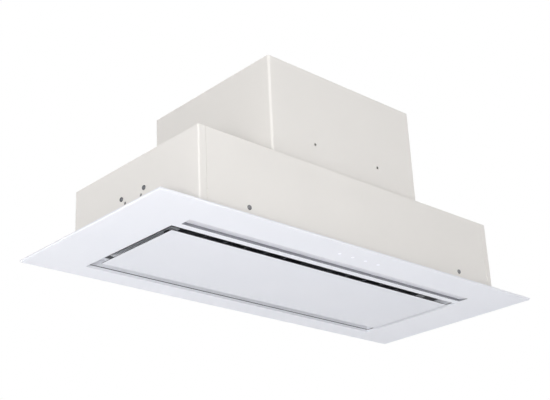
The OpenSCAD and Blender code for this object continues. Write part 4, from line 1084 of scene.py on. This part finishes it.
capacitorLook = {
    "stud": (4, 8),  # radius and length
    "studRounds": (0.2, 0.5),
    "bevel": 1.5,
    "tabHeight": 5,  # from the rim to the terminals' ends
    # groove, rim and crimp, each point as the distances in from the side and below the rim
    "lid": [(0, 4), (0.8, 3), (0, 2), (0, 0), (1.4, 0), (1.6, 1.2)],
    "tab": (0.4, 3.1),  # half of a terminal's thickness and width
    "tabPlace": 5,  # from the middle
    "tabFoot": 2,
    "round": 0.5,
    "steps": 48,
    "edge": 0.2,
}


def capacitorMesh():
    look = capacitorLook
    low, high, middle = boxOf("capacitor")
    radius = (high.x - low.x) / 2 / mm
    rim = (high.z - low.z) / mm - look["tabHeight"]
    stud, floor = look["stud"]
    inner, outer = look["studRounds"]
    bevel = look["bevel"]
    outline = [(0, 0), (stud, 0), (stud, floor, inner), (radius - bevel, floor, outer),
               (radius, floor + bevel), *((radius - deep, rim - below) for deep, below in look["lid"]),
               (0, rim - look["lid"][-1][1])]
    base = Vector((middle.x, middle.y, low.z))
    can = latheMesh(outline, look["round"], base, "Z", look["steps"])
    thick, wide = metres(look["tab"])
    tabs = []
    for side in (-1, 1):
        x = middle.x + side * look["tabPlace"] * mm
        tabs.append(((x - thick, middle.y - wide, low.z + (rim - look["tabFoot"]) * mm),
                     (x + thick, middle.y + wide, high.z)))
    return eased(joinMeshes([can, blocksMesh(tabs)]), look["edge"])


addPiece("capacitor", capacitorMesh())


# light board: diode packages with a round phosphor window, and a small resistor beside every third one

ledLook = {
    "count": 34,
    "package": (3.0, 2.8, 0.7),  # millimetres
    "window": 1.15,
    "windowRise": 0.2,  # share of its radius
    "windowSteps": (16, 8),  # round it and up it
    "resistor": (1.6, 0.8, 0.5),
    "resistorEvery": 3,
    "boardRise": 0.8,  # of the board above the windows' lowest point
    "edge": 0.2,
}


def diodeRow(tree, given):
    step = outOf(tree, "ShaderNodeCombineXYZ", {"X": given["Pitch"]})
    points = outOf(tree, "GeometryNodeMeshLine", {
        "Count": given["Count"], "Start Location": given["Start"], "Offset": step})
    body = outOf(tree, "GeometryNodeMeshCube", {"Size": given["Package"]})
    sides, rings = ledLook["windowSteps"]
    dome = outOf(tree, "GeometryNodeMeshUVSphere", {
        "Segments": sides, "Rings": rings, "Radius": given["Window Radius"]})
    under = outOf(tree, "ShaderNodeVectorMath", {0: given["Package"], 1: (0, 0, -0.5)}, operation="MULTIPLY")
    window = outOf(tree, "GeometryNodeTransform", {
        "Geometry": dome, "Translation": under, "Scale": (1, 1, ledLook["windowRise"])})
    diode = outOf(tree, "GeometryNodeJoinGeometry", {"Geometry": [body, window]})
    diodes = outOf(tree, "GeometryNodeInstanceOnPoints", {"Points": points, "Instance": diode})
    # resistors stand halfway to the next diode
    beside = outOf(tree, "ShaderNodeVectorMath", {0: step, 1: (0.5, 0, 0)}, operation="MULTIPLY")
    chip = outOf(tree, "GeometryNodeMeshCube", {"Size": given["Resistor"]})
    chip = outOf(tree, "GeometryNodeTransform", {"Geometry": chip, "Translation": beside})
    index = outOf(tree, "GeometryNodeInputIndex")
    turn = outOf(tree, "ShaderNodeMath", {0: index, 1: float(ledLook["resistorEvery"])}, operation="MODULO")
    first = outOf(tree, "ShaderNodeMath", {0: turn, 1: 0.5}, operation="LESS_THAN")
    chips = outOf(tree, "GeometryNodeInstanceOnPoints", {
        "Points": points, "Instance": chip, "Selection": first})
    return [given["Geometry"], diodes, chips]


def lightBoardMesh():
    low, high, middle = boxOf("light_board")
    pitch = (high.x - low.x) / ledLook["count"]
    package = metres(ledLook["package"])
    under = low.z + ledLook["boardRise"] * mm
    board = blocksMesh([((low.x, low.y, under), (high.x, high.y, high.z))])
    return growMesh("light_board", diodeRow, eased(board, ledLook["edge"]), {
        "Count": ledLook["count"], "Pitch": pitch, "Package": package,
        "Start": (low.x + pitch / 2, middle.y, under - package[2] / 2),
        "Window Radius": ledLook["window"] * mm, "Resistor": metres(ledLook["resistor"])})


addPiece("light_board", lightBoardMesh())


# leads: the CAD routes with round sections

leadLook = {
    "joinLimits": (40, 60),  # degrees out of flat and out of square that two triangles of one face may have
    "creaseAngle": 70,  # the ends' edges turn by more than this and stay sharp
    "crease": 0.9,
}


def leadMesh(node):
    work = cleanCopy(node)
    flat, square = (math.radians(limit) for limit in leadLook["joinLimits"])
    bmesh.ops.join_triangles(work, faces=work.faces, angle_face_threshold=flat, angle_shape_threshold=square)
    crease = work.edges.layers.float.new("crease_edge")
    for edge in work.edges:
        if edge.calc_face_angle(0) > math.radians(leadLook["creaseAngle"]):
            edge[crease] = leadLook["crease"]
    return changedMesh(keepMesh(work), ("SUBSURF", {"levels": 1, "render_levels": 1}))


for node in ("light_lead", "motor_lead"):
    addPiece(node, leadMesh(node))


# control board: relays, transformer, capacitor cans and small chips on the board

boardLook = {
    # low and high corners along Y and Z in millimetres from the board's lowest corner, rise and finish
    "parts": [
        ((34, 38), (68, 66), 17.5, "grey_plastic"), ((40, 8), (51, 26), 12, "black_plastic"),
        ((56, 8), (67, 26), 12, "black_plastic"), ((72, 8), (83, 26), 12, "black_plastic"),
        ((90, 10), (112, 15), 9, "white_plastic"), ((8, 40), (20, 44), 6, "white_plastic"),
        ((8, 50), (24, 62), 4, "grey_plastic"), ((88, 24), (98, 34), 2.2, "black_plastic"),
        ((104, 24), (120, 30), 2.2, "black_plastic"), ((74, 44), (84, 56), 5, "black_plastic")],
    "cans": [((28, 24), 4, 12), ((16, 20), 5, 15), ((94, 48), 3.2, 9)],  # place, radius and rise
    "canGroove": [(0, 2), (0.4, 2.6), (0, 3.2)],  # depth, and distance from the board
    "canRound": 0.4,
    "canFinish": "bright_steel",
    "pillarFinish": "white_plastic",
    "thickness": 1.6,
    "pillar": 3,
    "pillarLength": 8,
    "pillarInset": 6,
    "steps": 24,
    "edge": 0.25,
    "touch": (0.1, 0.5),  # a face off the board by the first and within the second of a part is the part's
}


def colourBoard(board, low, face):
    # the board itself comes first, then what stands on it
    looks = ["circuit_board", "black_plastic", "white_plastic", "grey_plastic", boardLook["canFinish"]]
    for look in looks:
        board.materials.append(finishes[look])
    off, within = boardLook["touch"]
    for polygon in board.polygons:
        spot = (polygon.center - low) / mm
        near = [(max(a[0] - spot.y, spot.y - b[0], a[1] - spot.z, spot.z - b[1]), look)
                for a, b, _, look in boardLook["parts"]]
        near += [(math.hypot(spot.y - place[0], spot.z - place[1]) - radius, boardLook["canFinish"])
                 for place, radius, _ in boardLook["cans"]]
        gap, look = min(near)
        if polygon.center.x > face + boardLook["thickness"] * mm:
            polygon.material_index = looks.index(boardLook["pillarFinish"])
        elif polygon.center.x < face - off * mm and gap < within:
            polygon.material_index = looks.index(look)


def controlBoardMesh():
    look = boardLook
    low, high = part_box("control_board")
    face = high.x - look["pillarLength"] * mm

    def spot(off, y, z):
        # a point by its millimetres off the board's face and from the lowest corner
        return Vector((face - off * mm, low.y + y * mm, low.z + z * mm))

    blocks = [((face, low.y, low.z), (face + look["thickness"] * mm, high.y, high.z))]
    blocks += [(spot(rise, *a), spot(0, *b)) for a, b, rise, _ in look["parts"]]
    meshes = [blocksMesh(blocks)]
    for place, radius, rise in look["cans"]:
        outline = [(0, 0), (radius, 0), *((radius - deep, -off) for deep, off in look["canGroove"]),
                   (radius, -rise), (0, -rise)]
        meshes.append(latheMesh(outline, look["canRound"], spot(0, *place), "X", look["steps"]))
    inset = look["pillarInset"] * mm
    radius, rise = look["pillar"], look["pillarLength"]
    outline = [(0, 0), (radius, 0), (radius, rise), (0, rise)]
    for y in (low.y + inset, high.y - inset):
        for z in (low.z + inset, high.z - inset):
            meshes.append(latheMesh(outline, 0, Vector((face, y, z)), "X", look["steps"]))
    board = eased(joinMeshes(meshes), look["edge"])
    colourBoard(board, low, face)
    return board


addPiece("control_board", controlBoardMesh())


# light driver: the thin fixing ears have smaller rounds than the case

driverLook = {"edge": 1.6, "earEdge": 0.4, "earHeight": 2.2}


def driverWidth(a, b):
    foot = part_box("light_driver")[0].z + driverLook["earHeight"] * mm
    return driverLook["earEdge"] if min(a.z, b.z) < foot else None


addPiece("light_driver", easedMesh("light_driver", driverLook["edge"], driverWidth))
print("electrical parts ready")
